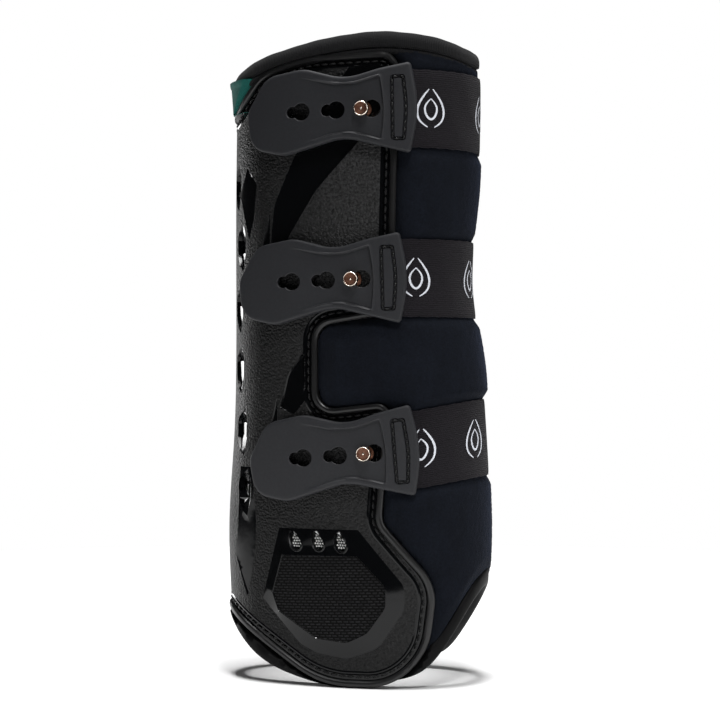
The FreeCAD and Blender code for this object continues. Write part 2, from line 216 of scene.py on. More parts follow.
def past_shell(x, z):
    """Distance outside the shell's outline, negative under the shell."""
    points = np.stack([np.ravel(x), np.ravel(z)], 1)
    d = distance(points, SHELL_LINE)
    return np.where(inside(points, SHELL_LINE), -d, d).reshape(np.shape(x))


def ease(t):
    """A smooth step from 0 to 1."""
    t = np.clip(t, 0, 1)
    return t * t * (3 - 2 * t)


def looped(line):
    """A closed line with its first point repeated at the end."""
    return np.vstack([line, line[:1]])


def wound(verts, faces, turn=1):
    """Flat triangles, all wound the same way."""
    area = np.cross(verts[faces[:, 1]] - verts[faces[:, 0]], verts[faces[:, 2]] - verts[faces[:, 0]])
    faces[area * turn < 0] = faces[area * turn < 0][:, ::-1]
    return faces


# ------------------------------------------------------------------ mesh helpers
def mesh_object(name, verts, faces, materials=(), zones=None, place=None, smooth=True, sharp=None):
    """A mesh from points in millimetres. place holds each point's own two measures for the weave."""
    mesh = bpy.data.meshes.new(name)
    mesh.from_pydata([tuple(v) for v in np.asarray(verts) * MM], [], [tuple(map(int, f)) for f in faces])
    for m in materials:
        mesh.materials.append(m)
    if zones is not None:
        mesh.polygons.foreach_set("material_index", np.asarray(zones, np.int32))
    if place is not None:
        flat = np.zeros((len(verts), 3), np.float32)
        flat[:, :2] = place
        mesh.attributes.new("place", "FLOAT_VECTOR", "POINT").data.foreach_set("vector", flat.ravel())
    mesh.validate()
    mesh.shade_smooth() if smooth else mesh.shade_flat()
    if sharp is not None:
        mesh.set_sharp_from_angle(angle=math.radians(sharp))
    piece = bpy.data.objects.new(name, mesh)
    bpy.context.scene.collection.objects.link(piece)
    return piece


def grid_faces(rows, columns, loop_rows=False, loop_columns=False):
    """Quads of a grid whose point (i, j) is number i * columns + j."""
    faces = []
    for i in range(rows if loop_rows else rows - 1):
        for j in range(columns if loop_columns else columns - 1):
            a, b = i * columns + j, i * columns + (j + 1) % columns
            c, d = (i + 1) % rows * columns + (j + 1) % columns, (i + 1) % rows * columns + j
            faces.append((a, b, c, d))
    return faces


def capped_tube(rows, columns):
    """Faces of a tube made of rings of points, with both ends closed."""
    last = (rows - 1) * columns
    ends = [tuple(range(columns))[::-1], tuple(range(last, last + columns))]
    return grid_faces(rows, columns, False, True) + ends


def band(name, path_points, section_size, materials, place, loop=False):
    """A closed tube from an array of section rings; open ends are capped."""
    rows = len(path_points) // section_size
    faces = grid_faces(rows, section_size, True, True) if loop else capped_tube(rows, section_size)
    return mesh_object(name, path_points, faces, materials, place=place, sharp=50)


class Sheet:
    """A flat plan cut into triangles along its feature lines, then lifted to a solid piece."""

    def __init__(self):
        self.points, self.heights, self.edges = [], [], []

    def line(self, points, height, closed=True):
        """Adds a feature line; height is one number, or one for each point."""
        start = len(self.points)
        heights = np.broadcast_to(height, len(points))
        self.points += [tuple(p) for p in points]
        self.heights += list(heights)
        last = len(points) if closed else len(points) - 1
        self.edges += [(start + k, start + (k + 1) % len(points)) for k in range(last)]

    def fill(self, points, heights):
        self.points += [tuple(p) for p in points]
        self.heights += list(np.broadcast_to(heights, len(points)))

    def cut(self, outline, holes):
        """Triangles inside the outline and outside the holes."""
        made = delaunay_2d_cdt([Vector(p) for p in self.points], self.edges, [], 0, 1e-5)
        verts = np.array([tuple(v) for v in made[0]])
        heights = np.array([self.heights[ids[0]] if ids else np.nan for ids in made[3]])
        for k in np.flatnonzero(np.isnan(heights)):
            near = np.argmin(((np.array(self.points) - verts[k])**2).sum(1))
            heights[k] = self.heights[near]
        faces = np.array([tuple(f) for f in made[2] if len(f) == 3])
        centres = verts[faces].mean(1)
        keep = inside(centres, outline)
        for hole in holes:
            keep &= ~inside(centres, hole)
        return verts, heights, faces[keep]


def closed_solid(top, bottom, faces):
    """Joins a sheet's upper and lower points into a closed solid. Returns points and faces."""
    n = len(top)
    sides = {}
    for f in faces:
        for a, b in ((f[0], f[1]), (f[1], f[2]), (f[2], f[0])):
            sides[(a, b)] = sides.get((a, b), 0) + 1
    rim = [(a, b) for (a, b) in sides if (b, a) not in sides]
    walls = [(b, a, a + n, b + n) for a, b in rim]
    under = [(f[0] + n, f[2] + n, f[1] + n) for f in faces]
    return np.vstack([top, bottom]), [tuple(f) for f in faces] + under + walls


STITCH_ROWS, STITCH_SIDES = 9, 8


def stitches(path, length, gap, radius):
    """Short thread capsules along a path of points with normals. Returns points and faces."""
    points, normals = path
    run = np.r_[0, np.cumsum(np.linalg.norm(np.diff(points, axis=0), axis=1))]
    count = int(run[-1] // (length + gap))
    pitch = run[-1] / count
    verts, faces, places = [], [], []
    for i in range(count):
        start = i * pitch + gap / 2
        lean = 0.12 * math.sin(i * 2.4)
        for k in range(STITCH_ROWS):
            t = k / (STITCH_ROWS - 1)
            at = start + t * (pitch - gap)
            p = np.array([np.interp(at, run, points[:, c]) for c in range(3)])
            n = np.array([np.interp(at, run, normals[:, c]) for c in range(3)])
            n /= np.linalg.norm(n)
            ahead = np.array([np.interp(at + 0.2, run, points[:, c]) for c in range(3)]) - p
            ahead = ahead / max(np.linalg.norm(ahead), 1e-9)
            across = np.cross(ahead, n)
            swell = radius * max(math.sin(math.pi * (0.06 + 0.88 * t)), 0.15)**0.45
            arch = n * (radius * 0.75 * math.sin(math.pi * t) - radius * 0.35)
            for m in range(STITCH_SIDES):
                w = 2 * math.pi * m / STITCH_SIDES
                twist = 1 + 0.1 * math.sin(3 * w + t * 14)
                verts.append(p + arch + across * (lean * (t - 0.5) * 2 * radius)
                             + (across * math.cos(w) + n * math.sin(w)) * swell * twist)
                places.append((at, w))
        base = len(verts) - STITCH_ROWS * STITCH_SIDES
        faces += [tuple(base + q for q in f) for f in capped_tube(STITCH_ROWS, STITCH_SIDES)]
    return verts, faces, places


# ------------------------------------------------------------------ materials
class Look:
    """A short way to write a material's nodes. Lengths in its textures are millimetres."""

    def __init__(self, name, color, roughness, **shader):
        self.material = bpy.data.materials.new(name)
        self.material.use_nodes = True
        self.tree = self.material.node_tree
        self.shader = self.tree.nodes["Principled BSDF"]
        self.shader.inputs["Base Color"].default_value = (*color, 1)
        self.shader.inputs["Roughness"].default_value = roughness
        for key, value in shader.items():
            self.shader.inputs[key.replace("_", " ")].default_value = value
        self.bumps = None

    def add(self, kind, inputs=(), **settings):
        node = self.tree.nodes.new("ShaderNode" + kind)
        for key, value in settings.items():
            setattr(node, key, value)
        for key, value in dict(inputs).items():
            if isinstance(value, bpy.types.NodeSocket):
                self.tree.links.new(value, node.inputs[key])
            else:
                node.inputs[key].default_value = value
        return node

    def at(self, scale=(1, 1, 1), own=False, turn=0.0):
        """Where the surface is, in millimetres, or the piece's own measures along and across."""
        if own:
            source = self.add("Attribute", attribute_name="place").outputs["Vector"]
        else:
            source = self.add("VectorMath", {0: self.add("TexCoord").outputs["Object"], 3: 1000.0},
                              operation="SCALE").outputs[0]
        return self.add("Mapping", {"Vector": source, "Scale": scale, "Rotation": (0, 0, turn)}).outputs[0]

    def maths(self, operation, a, b=0.0, clamp=False):
        return self.add("Math", {0: a, 1: b}, operation=operation, use_clamp=clamp).outputs[0]

    def noise(self, where, scale, detail=3.0, rough=0.5):
        settings = {"Vector": where, "Scale": scale, "Detail": detail, "Roughness": rough}
        return self.add("TexNoise", settings).outputs[0]

    def ramp(self, value, start, end, low=0.0, high=1.0):
        """Maps start..end to low..high, clamped."""
        return self.add("MapRange", {0: value, 1: start, 2: end, 3: low, 4: high}).outputs[0]

    def own_axes(self):
        """The piece's own measures, along and across."""
        split = self.add("SeparateXYZ", {0: self.at(own=True)})
        return split.outputs[0], split.outputs[1]

    def ribs(self, measure, pitch):
        """Round-topped ribs, one to each pitch in millimetres."""
        return self.maths("ABSOLUTE", self.maths("SINE", self.maths("MULTIPLY", measure, math.pi / pitch)))

    def bump(self, height, depth_mm, strength=1.0):
        inputs = {"Height": height, "Distance": depth_mm * MM, "Strength": strength}
        if self.bumps is not None:
            inputs["Normal"] = self.bumps
        self.bumps = self.add("Bump", inputs).outputs[0]
        self.tree.links.new(self.bumps, self.shader.inputs["Normal"])
        return self

    def vary(self, socket, factor, low, high):
        """Drives a shader input from low to high."""
        if isinstance(low, tuple):
            mix = self.add("Mix", {0: factor}, data_type="RGBA")
            first, second = [s for s in mix.inputs if s.type == "RGBA"]
            first.default_value, second.default_value = (*low, 1), (*high, 1)
            out = next(o for o in mix.outputs if o.type == "RGBA")
        else:
            out = self.ramp(factor, 0.0, 1.0, low, high)
        self.tree.links.new(out, self.shader.inputs[socket])
        return self


def make_grain():
    """Moulded plastic with a leather grain: pebbles about a millimetre across; its colour is painted paler
    towards the front and the top and darker towards the back and the bottom, painted light and shade.
    """
    look = Look("tpu_grain", (0.012, 0.012, 0.0123), 0.5, Specular_IOR_Level=0.22)
    where = look.at()
    pebbles = look.add("TexVoronoi", {"Vector": where, "Scale": 0.95}, feature="F1").outputs["Distance"]
    pores = look.noise(where, 0.85, 3.0, 0.65)
    look.bump(look.maths("SUBTRACT", 1.0, pebbles), 0.6, 0.8)
    look.bump(pores, 0.8, 0.8)
    look.vary("Roughness", look.noise(where, 0.035, 5.0, 0.6), 0.38, 0.58)
    speckle = look.ramp(pores, 0.36, 0.66)
    around_boot, up_boot = look.own_axes()
    # The speckle is the grain's own tone; front and upper paint it paler towards the front and the top,
    # painted light, and darker at the back and the bottom, painted shade.
    front, upper = look.ramp(around_boot, -48.0, -6.0, 0.2), look.ramp(up_boot, 60.0, 190.0, 0.3)
    speckle_and_painted_light = look.maths("MULTIPLY", speckle, look.maths("MULTIPLY", front, upper))
    look.vary("Base Color", speckle_and_painted_light, (0.001, 0.001, 0.0011), (0.033, 0.033, 0.0337))
    return look.material


def make_gloss():
    """The same plastic, polished in the mould, with faint handling haze."""
    look = Look("tpu_gloss", (0.002, 0.0022, 0.0026), 0.1, Specular_IOR_Level=0.24)
    haze = look.noise(look.at(), 0.06, 5.0, 0.65)
    look.vary("Roughness", haze, 0.05, 0.2)
    look.bump(look.noise(look.at(), 0.12, 2.0), 0.2, 0.25)
    return look.material


def make_rim():
    """The raised bead: finer grain, satin, its roughness varying in patches."""
    look = Look("tpu_rim", (0.007, 0.007, 0.0073), 0.3, Specular_IOR_Level=0.36)
    look.bump(look.noise(look.at(), 3.0, 3.0), 0.05, 0.5)
    look.vary("Roughness", look.noise(look.at(), 0.2, 4.0), 0.26, 0.42)
    return look.material


FLOAT_LENGTH, FLOAT_ROW, FLOAT_STEP = 2.9, 1.3, 0.36       # the weave's floats; the step is a share


def make_panel():
    """Carbon-look weave moulded in the strike panel: rows of short floats, each row stepped aside."""
    look = Look("tpu_weave", (0.004, 0.004, 0.0043), 0.42, Specular_IOR_Level=0.08)
    scale = (1 / FLOAT_LENGTH, 1 / FLOAT_ROW, 1)
    split = look.add("SeparateXYZ", {0: look.at(scale, own=True, turn=math.radians(-4))})
    row = look.maths("FLOOR", split.outputs[1])
    along = look.maths("ADD", split.outputs[0], look.maths("MULTIPLY", row, FLOAT_STEP))
    masks = []
    for place, start, end in ((along, 0.27, 0.42), (split.outputs[1], 0.14, 0.33)):
        from_middle = look.maths("ABSOLUTE", look.maths("SUBTRACT", look.maths("FRACT", place), 0.5))
        masks.append(look.ramp(from_middle, start, end, 1.0, 0.0))
    floats = look.maths("MULTIPLY", *masks)
    look.bump(floats, 0.5, 1.0)
    look.bump(look.noise(look.at(), 2.0, 3.0), 0.08, 0.5)
    # The raised floats are painted lighter and the gaps between them near black: painted light on the floats
    # and painted shade between them; the floats' tone also varies at random.
    float_tone_and_painted_light = look.maths("MULTIPLY", floats, look.noise(look.at(), 0.45, 2.0, 0.6))
    look.vary("Base Color", float_tone_and_painted_light, (0.0002, 0.0002, 0.0002), (0.028, 0.028, 0.03))
    return look.material


def make_tab_rubber():
    """Moulded rubber: dead matt, with faint flow marks and dust."""
    look = Look("tab_rubber", (0.015, 0.0157, 0.018), 0.56, Specular_IOR_Level=0.32)
    look.bump(look.noise(look.at(), 4.0, 2.0), 0.035, 0.6)
    look.bump(look.noise(look.at((0.4, 1, 1)), 0.08, 3.0), 0.3, 0.15)
    look.vary("Roughness", look.noise(look.at(), 0.05, 5.0, 0.7), 0.46, 0.66)
    dust = look.noise(look.at(), 0.9, 5.0, 0.7)
    look.vary("Base Color", dust, (0.009, 0.0095, 0.0115), (0.0215, 0.022, 0.025))
    return look.material


CORD_PITCH, PICK_PITCH = 0.95, 0.55


def make_elastic_look():
    """Woven elastic: rubber cores run along it under a fine cross weave with loose filaments."""
    look = Look("woven_elastic", (0.01, 0.008, 0.011), 0.85, Sheen_Weight=0.05, Sheen_Roughness=0.4,
                Specular_IOR_Level=0.2)
    along, across = look.own_axes()
    cords, picks = look.ribs(across, CORD_PITCH), look.ribs(along, PICK_PITCH)
    look.bump(cords, 0.16, 0.75)
    look.bump(picks, 0.12, 0.7)
    fibres = look.noise(look.at((1.4, 1.0, 1), own=True), 1.0, 5.0, 0.8)
    look.bump(fibres, 0.12, 0.6)
    # The fibres' specks are their own colour; lit_cords paints the cords' crests lighter, a painted
    # highlight.
    lit_cords = look.maths("ADD", look.maths("MULTIPLY", cords, 0.5), 0.6)
    fibre_specks_and_painted_cord_light = look.maths("POWER", look.maths("MULTIPLY", fibres, lit_cords), 2.6)
    look.vary("Base Color", fibre_specks_and_painted_cord_light, (0.0005, 0.0003, 0.0007), (0.032, 0.025, 0.036))
    return look.material


def make_plush():
    """Plush-faced neoprene: dark navy, brushed nap that catches light at a glance."""
    look = Look("neoprene_plush", (0.003, 0.004, 0.009), 0.95, Sheen_Weight=0.06, Sheen_Roughness=0.3,
                Specular_IOR_Level=0.12)
    look.shader.inputs["Sheen Tint"].default_value = (0.35, 0.45, 0.8, 1)
    fuzz = look.noise(look.at(), 0.9, 5.0, 0.75)
    look.bump(fuzz, 0.5, 0.6)
    nap = look.noise(look.at((1, 1, 0.35)), 0.12, 4.0, 0.6)
    look.bump(nap, 0.7, 0.12)
    look.vary("Base Color", look.maths("MULTIPLY", fuzz, look.maths("ADD", nap, 0.45)),
              (0.0001, 0.0002, 0.0005), (0.007, 0.0095, 0.016))
    return look.material


def make_knit():
    """Ribbed knit over the padded collar: fine wales that run over the roll."""
    look = Look("collar_knit", (0.005, 0.005, 0.0053), 0.9, Sheen_Weight=0.04, Specular_IOR_Level=0.15)
    along, across = look.own_axes()
    wales, courses = look.ribs(along, 0.9), look.ribs(across, 0.7)
    look.bump(wales, 0.22, 0.8)
    look.bump(courses, 0.08, 0.5)
    look.bump(look.noise(look.at(), 2.0, 4.0), 0.08, 0.5)
    # The wales' crests are painted lighter and the valleys between them darker: painted shade in the valleys.
    look.vary("Base Color", wales, (0.0015, 0.0015, 0.0018), (0.008, 0.008, 0.0087))
    return look.material


def make_binding():
    """Smooth lycra binding with a soft crease or two."""
    look = Look("edge_binding", (0.0016, 0.0016, 0.0018), 0.6, Specular_IOR_Level=0.1)
    look.bump(look.noise(look.at(), 3.5, 3.0), 0.05, 0.5)
    look.bump(look.noise(look.at((1, 1, 0.4)), 0.15, 3.0), 0.5, 0.2)
    look.vary("Roughness", look.noise(look.at(), 0.1, 4.0), 0.42, 0.7)
    return look.material


def make_thread():
    """Bonded black thread, three plies."""
    look = Look("thread", (0.003, 0.003, 0.0033), 0.42, Specular_IOR_Level=0.3)
    along, across = look.own_axes()
    ply = look.maths("SINE", look.maths("ADD", look.maths("MULTIPLY", along, 7.0),
                                        look.maths("MULTIPLY", across, 3.0)))
    look.bump(ply, 0.08, 0.8)
    look.vary("Roughness", look.noise(look.at(), 1.0, 2.0), 0.3, 0.55)
    return look.material


def make_metal(name, low, high, roughness, knurl):
    """Plated metal; knurl is the pitch of its turned marks."""
    look = Look(name, low, roughness, Metallic=1.0)
    look.bump(look.ribs(look.own_axes()[0], knurl), 0.05, 0.6)
    look.bump(look.noise(look.at(), 3.0, 4.0, 0.7), 0.05, 0.5)
    look.vary("Base Color", look.noise(look.at(), 1.1, 5.0, 0.7), low, high)
    look.vary("Roughness", look.noise(look.at(), 1.6, 4.0), roughness * 0.7, roughness * 1.5)
    return look.material


def make_ribbon():
    """Teal woven ribbon."""
    look = Look("teal_ribbon", (0.0, 0.09, 0.075), 0.7, Specular_IOR_Level=0.2)
    along, across = look.own_axes()
    weave = look.maths("MULTIPLY", look.maths("SINE", look.maths("MULTIPLY", along, 9.0)),
                       look.maths("SINE", look.maths("MULTIPLY", across, 7.0)))
    look.bump(weave, 0.08, 0.7)
    look.vary("Base Color", look.noise(look.at(), 0.8, 4.0), (0.0, 0.06, 0.05), (0.002, 0.12, 0.1))
    return look.material


def make_mesh():
    """Spacer mesh behind the vents: pale knots on a dark ground."""
    look = Look("spacer_mesh", (0.02, 0.02, 0.02), 0.5)
    dots = look.add("TexVoronoi", {"Vector": look.at(), "Scale": 0.95, "Randomness": 0.12})
    knot = look.maths("LESS_THAN", dots.outputs["Distance"], 0.34)
    look.vary("Base Color", knot, (0.004, 0.004, 0.004), (0.35, 0.35, 0.34))
    look.bump(look.maths("SUBTRACT", 1.0, dots.outputs["Distance"]), 0.5, 1.0)
    return look.material


def make_knots():
    """The mesh's pale yarn knots."""
    look = Look("mesh_knots", (0.5, 0.5, 0.49), 0.45)
    look.bump(look.noise(look.at(), 3.0, 3.0), 0.08, 0.6)
    look.vary("Base Color", look.noise(look.at(), 0.8, 3.0), (0.45, 0.45, 0.45), (0.9, 0.9, 0.88))
    return look.material


HOLE_PITCH = 5.0


def make_perforated():
    """Perforated inner neoprene: small round holes in staggered rows over a fine skin."""
    look = Look("perforated_lining", (0.012, 0.012, 0.013), 0.75, Specular_IOR_Level=0.35)
    along, across = look.own_axes()
    rows = look.maths("DIVIDE", across, HOLE_PITCH)
    shift = look.maths("MULTIPLY", look.maths("MODULO", look.maths("FLOOR", rows), 2.0), HOLE_PITCH / 2)
    columns = look.maths("DIVIDE", look.maths("ADD", along, shift), HOLE_PITCH)
    fx, fy = (look.maths("SUBTRACT", look.maths("FRACT", place), 0.5) for place in (columns, rows))
    squares = look.maths("ADD", look.maths("MULTIPLY", fx, fx), look.maths("MULTIPLY", fy, fy))
    reach = look.maths("SQRT", squares)
    solid = look.maths("GREATER_THAN", reach, 0.17)
    look.bump(look.ramp(reach, 0.12, 0.22), 0.7, 1.0)
    look.bump(look.noise(look.at(), 1.5, 5.0), 0.1, 0.5)
    look.vary("Base Color", solid, (0.001, 0.001, 0.001), (0.014, 0.014, 0.0155))
    return look.material


def make_print():
    """White screen print on the elastic, broken by the weave."""
    look = Look("screen_print", (0.7, 0.72, 0.78), 0.7)
    look.bump(look.ribs(look.own_axes()[1], CORD_PITCH), 0.15, 0.7)
    look.vary("Base Color", look.noise(look.at(), 2.2, 4.0, 0.7), (0.42, 0.44, 0.52), (0.85, 0.87, 0.9))
    return look.material


def make_foam():
    """Open foam, finely pitted."""
    look = Look("pad_foam", (0.03, 0.03, 0.033), 0.9)
    look.bump(look.noise(look.at(), 1.5, 4.0, 0.7), 0.3, 0.8)
    look.vary("Base Color", look.noise(look.at(), 0.7, 4.0), (0.02, 0.02, 0.022), (0.045, 0.045, 0.05))
    return look.material


GRAIN, GLOSS, RIM, PANEL = make_grain(), make_gloss(), make_rim(), make_panel()
RUBBER, ELASTIC, NEOPRENE, KNIT = make_tab_rubber(), make_elastic_look(), make_plush(), make_knit()
BINDING, THREAD, RIBBON, SPACER = make_binding(), make_thread(), make_ribbon(), make_mesh()
LINING, PRINT, FOAM, KNOTS = make_perforated(), make_print(), make_foam(), make_knots()
NICKEL = make_metal("nickel_rim", (0.80, 0.70, 0.60), (0.95, 0.86, 0.76), 0.16, 0.5)
COPPER = make_metal("copper_recess", (0.10, 0.045, 0.03), (0.30, 0.15, 0.10), 0.42, 0.22)

# ------------------------------------------------------------------ shell
# the bead round the shell's edge and the stitch channel inside it, as inset and height
RIM_PROFILE = ((0.0, -0.1), (0.2, 0.55), (0.7, 1.0), (1.5, 1.2), (2.3, 1.05), (2.8, 0.6), (3.1, -0.1),
               (3.4, -0.75), (5.3, -0.75), (5.6, -0.45), (6.0, 0.05), (6.6, 0.2), (7.3, 0.0))
BEAD_END = 6                                 # the profile's point where the bead meets the channel
# the shell's materials, by zone
ZONE_GRAIN, ZONE_GLOSS, ZONE_RIM, ZONE_PANEL, ZONE_VENT = range(5)
# Facets sunk in the lateral face: corners, the deep edge's two corners, depth, and the ramp's length
FACETS = {
    "long_band": (((24.2, 284, 1), (6.5, 284.5, 1), (-9, 262.5, 4), (-20.8, 243.5, 30), (-26.1, 232.5, 20),
                   (-30.9, 222, 12), (-32.4, 210, 10), (-33.5, 183, 1), (-31, 178, 1), (-24.6, 205.5, 20),
                   (-9.9, 228, 40), (10, 249, 40), (23.2, 268, 1)), (-24.6, 205.5), (10, 249), 1.1, 20.0),
    "lower_wedge": (((-15.6, 154.5, 1), (-24, 143.5, 6), (-28.2, 127.5, 1), (-20.8, 125, 1), (-15.6, 131, 1)),
                    (-15.6, 154.5), (-28.2, 127.5), 0.8, 10.0),
    "back_sliver": (((-33.2, 220, 0.3), (-34.0, 184, 0.3), (-42, 182, 1)),
                    (-33.2, 220), (-34.0, 184), 0.7, 7.0),
    "low_sliver": (((-29.5, 135, 0.3), (-29.6, 112, 1), (-34.5, 112, 1)),
                   (-29.5, 135), (-29.6, 112), 0.6, 5.0),
    "upper_diamond": (((-46.4, 240, 0.3), (-40.7, 232, 0.5), (-42.4, 216, 0.5), (-45.2, 206, 0.3),
                       (-51.4, 227.5, 0.5)), (-40.7, 232), (-42.4, 216), 0.8, 9.0),
    "tendon_facet": (((-50.5, 100, 0.5), (-43.4, 100, 0.5), (-40.9, 75.5, 3), (-41.2, 62, 3),
                      (-45.7, 39, 0.4), (-54.0, 60, 2), (-52.0, 68, 2)), (-41, 80), (-45.7, 39), 0.9, 10.0),
}
SHIELD_OUTER = ((-28.5, 72.3, 0.8), (10.5, 72.3, 0.8), (31.9, 47, 9), (31.9, 36, 11), (20, 18.5, 11),
                (5.5, 13.2, 10), (-9.4, 15.5, 9), (-17.8, 19.5, 4), (-37.1, 39.5, 1))
SHIELD_INNER = ((-26.2, 60.2, 0.5), (10.5, 60.5, 0.5), (23.5, 47, 5), (23.5, 37.2, 6), (15, 25.3, 7),
                (5.5, 20.7, 7), (-9.4, 22.3, 6), (-28, 34, 0.8), (-31.2, 42.5, 0.8))
SHIELD_HEIGHT, PANEL_HEIGHT = 1.7, 1.25
SHIELD_VENTS = ((-20.0, 66.8), (-8.9, 67.0), (2.0, 66.5))
SHIELD_VENT_LENGTH, SHIELD_VENT_WIDTH, SHIELD_VENT_LEAN = 4.6, 2.7, 24       # halves, and degrees
# Tendon vents: distance round and height of the centre, and where its bright facet starts and ends
TENDON_VENTS = ((-62.5, 88.3, 3.4, 1.3), (-66.0, 116.5, 4.3, -1.4), (-69.6, 145.5, 4.1, -5.6),
                (-70.6, 174.1, 1.5, -8.7), (-67.8, 203.0, -2.6, -9.4), (-73.0, 231.5, -2.0, -8.0))
# A tendon vent round its centre: outline, and the slot through to the mesh
VENT_OUTLINE = ((3.2, 10.9), (5.2, 5.2), (5.1, -3.2), (2.8, -11.2), (-1.4, -8.6), (-4.0, -3.2), (-4.7, 3.6),
                (-3.9, 6.0))
VENT_SLOT = ((3.5, 3.6), (4.7, 3.2), (4.5, -2.4), (3.4, -2.8))
VENT_TIP, VENT_TOP_FACET, VENT_FOOT, VENT_DEPTH = 10.9, 4.8, -11.2, 1.35
VENT_FACING = math.radians(-54.5)            # bearing that every vent's bright facet faces
CREASE, VENT_CRISP = 0.15, math.radians(2.5)
FIELD_STEP = 2.6                             # between the shell's points away from its features


def shield_vent(x, z, half_length=SHIELD_VENT_LENGTH, half_width=SHIELD_VENT_WIDTH, inset=0.0, count=22):
    """A leaning teardrop, pointed above and round below."""
    turn = math.radians(SHIELD_VENT_LEAN)
    line = []
    for k in range(count):
        t = 2 * math.pi * k / count
        up = math.cos(t) * (half_length - inset)
        taper = 0.72 - 0.28 * math.cos(t)
        across = math.sin(t) * (half_width - inset) * taper / 0.86
        line.append((x + across * math.cos(turn) - up * math.sin(turn),
                     z + up * math.cos(turn) + across * math.sin(turn)))
    return np.array(line)


def tendon_vent(vent, outline, inset=0.0):
    """A vent's outline or slot about its centre, drawn in by inset."""
    line = np.array(outline, float)
    middle = line.mean(0)
    arms = line - middle
    reach = np.linalg.norm(arms, axis=1)[:, None]
    return resample(np.array(vent[:2]) + middle + arms * (reach - inset) / reach, 1.0)


def vent_height(plan, vent):
    """Depth inside a tendon vent: a bright flat facet between a dark one above it and a rising tail."""
    s0, z0, quad_top, quad_foot = vent
    back_x, back_r = egg(z0)[2:4]
    bearing = -math.asin((back_x - on_form(s0, z0)[0]) / back_r)
    s, w = plan[:, 0] - s0, plan[:, 1] - z0
    flat = -VENT_DEPTH + (bearing - VENT_FACING) * s + s * s / (2 * back_r)
    dark = flat - 0.35 + 0.16 * (s - 1.0)
    up = np.clip((w - VENT_TOP_FACET) / (VENT_TIP - VENT_TOP_FACET), 0, 1)
    tail = np.clip((quad_foot - w) / (quad_foot - VENT_FOOT), 0, 1)
    height = np.where(w > quad_top, dark * (1 - up), flat * (1 - tail) - 0.7 * tail * (1 - tail))
    return np.clip(height, -2.1, -0.12)


def facet_height(points, facet):
    """Depth of a sunk facet, deepest at its deep edge."""
    a, b, depth, ramp = facet[1:]
    d = distance(points, np.array([a, b], float), closed=False)
    return -depth * np.clip(1 - d / ramp, 0, 1)**1.2


def to_plan(points):
    """Side-view x, z to distance round and height."""
    return np.stack([round_to(points[:, 0], points[:, 1]), points[:, 1]], 1)


def cut_at_back(line):
    """The stretch of a closed outline in front of the form's back, ending on the back's line."""
    ahead = line[:, 0] > -back_reach(line[:, 1]) + 0.05
    start = next(i for i in range(len(line)) if ahead[i] and not ahead[i - 1])
    order = np.roll(np.arange(len(line)), -start)
    run = [line[i] for i in order if ahead[i]]
    plan = to_plan(np.array(run))
    ends = [(-girth(plan[k][1])[1], plan[k][1]) for k in (0, -1)]
    return np.vstack([[ends[0]], plan, [ends[1]]])


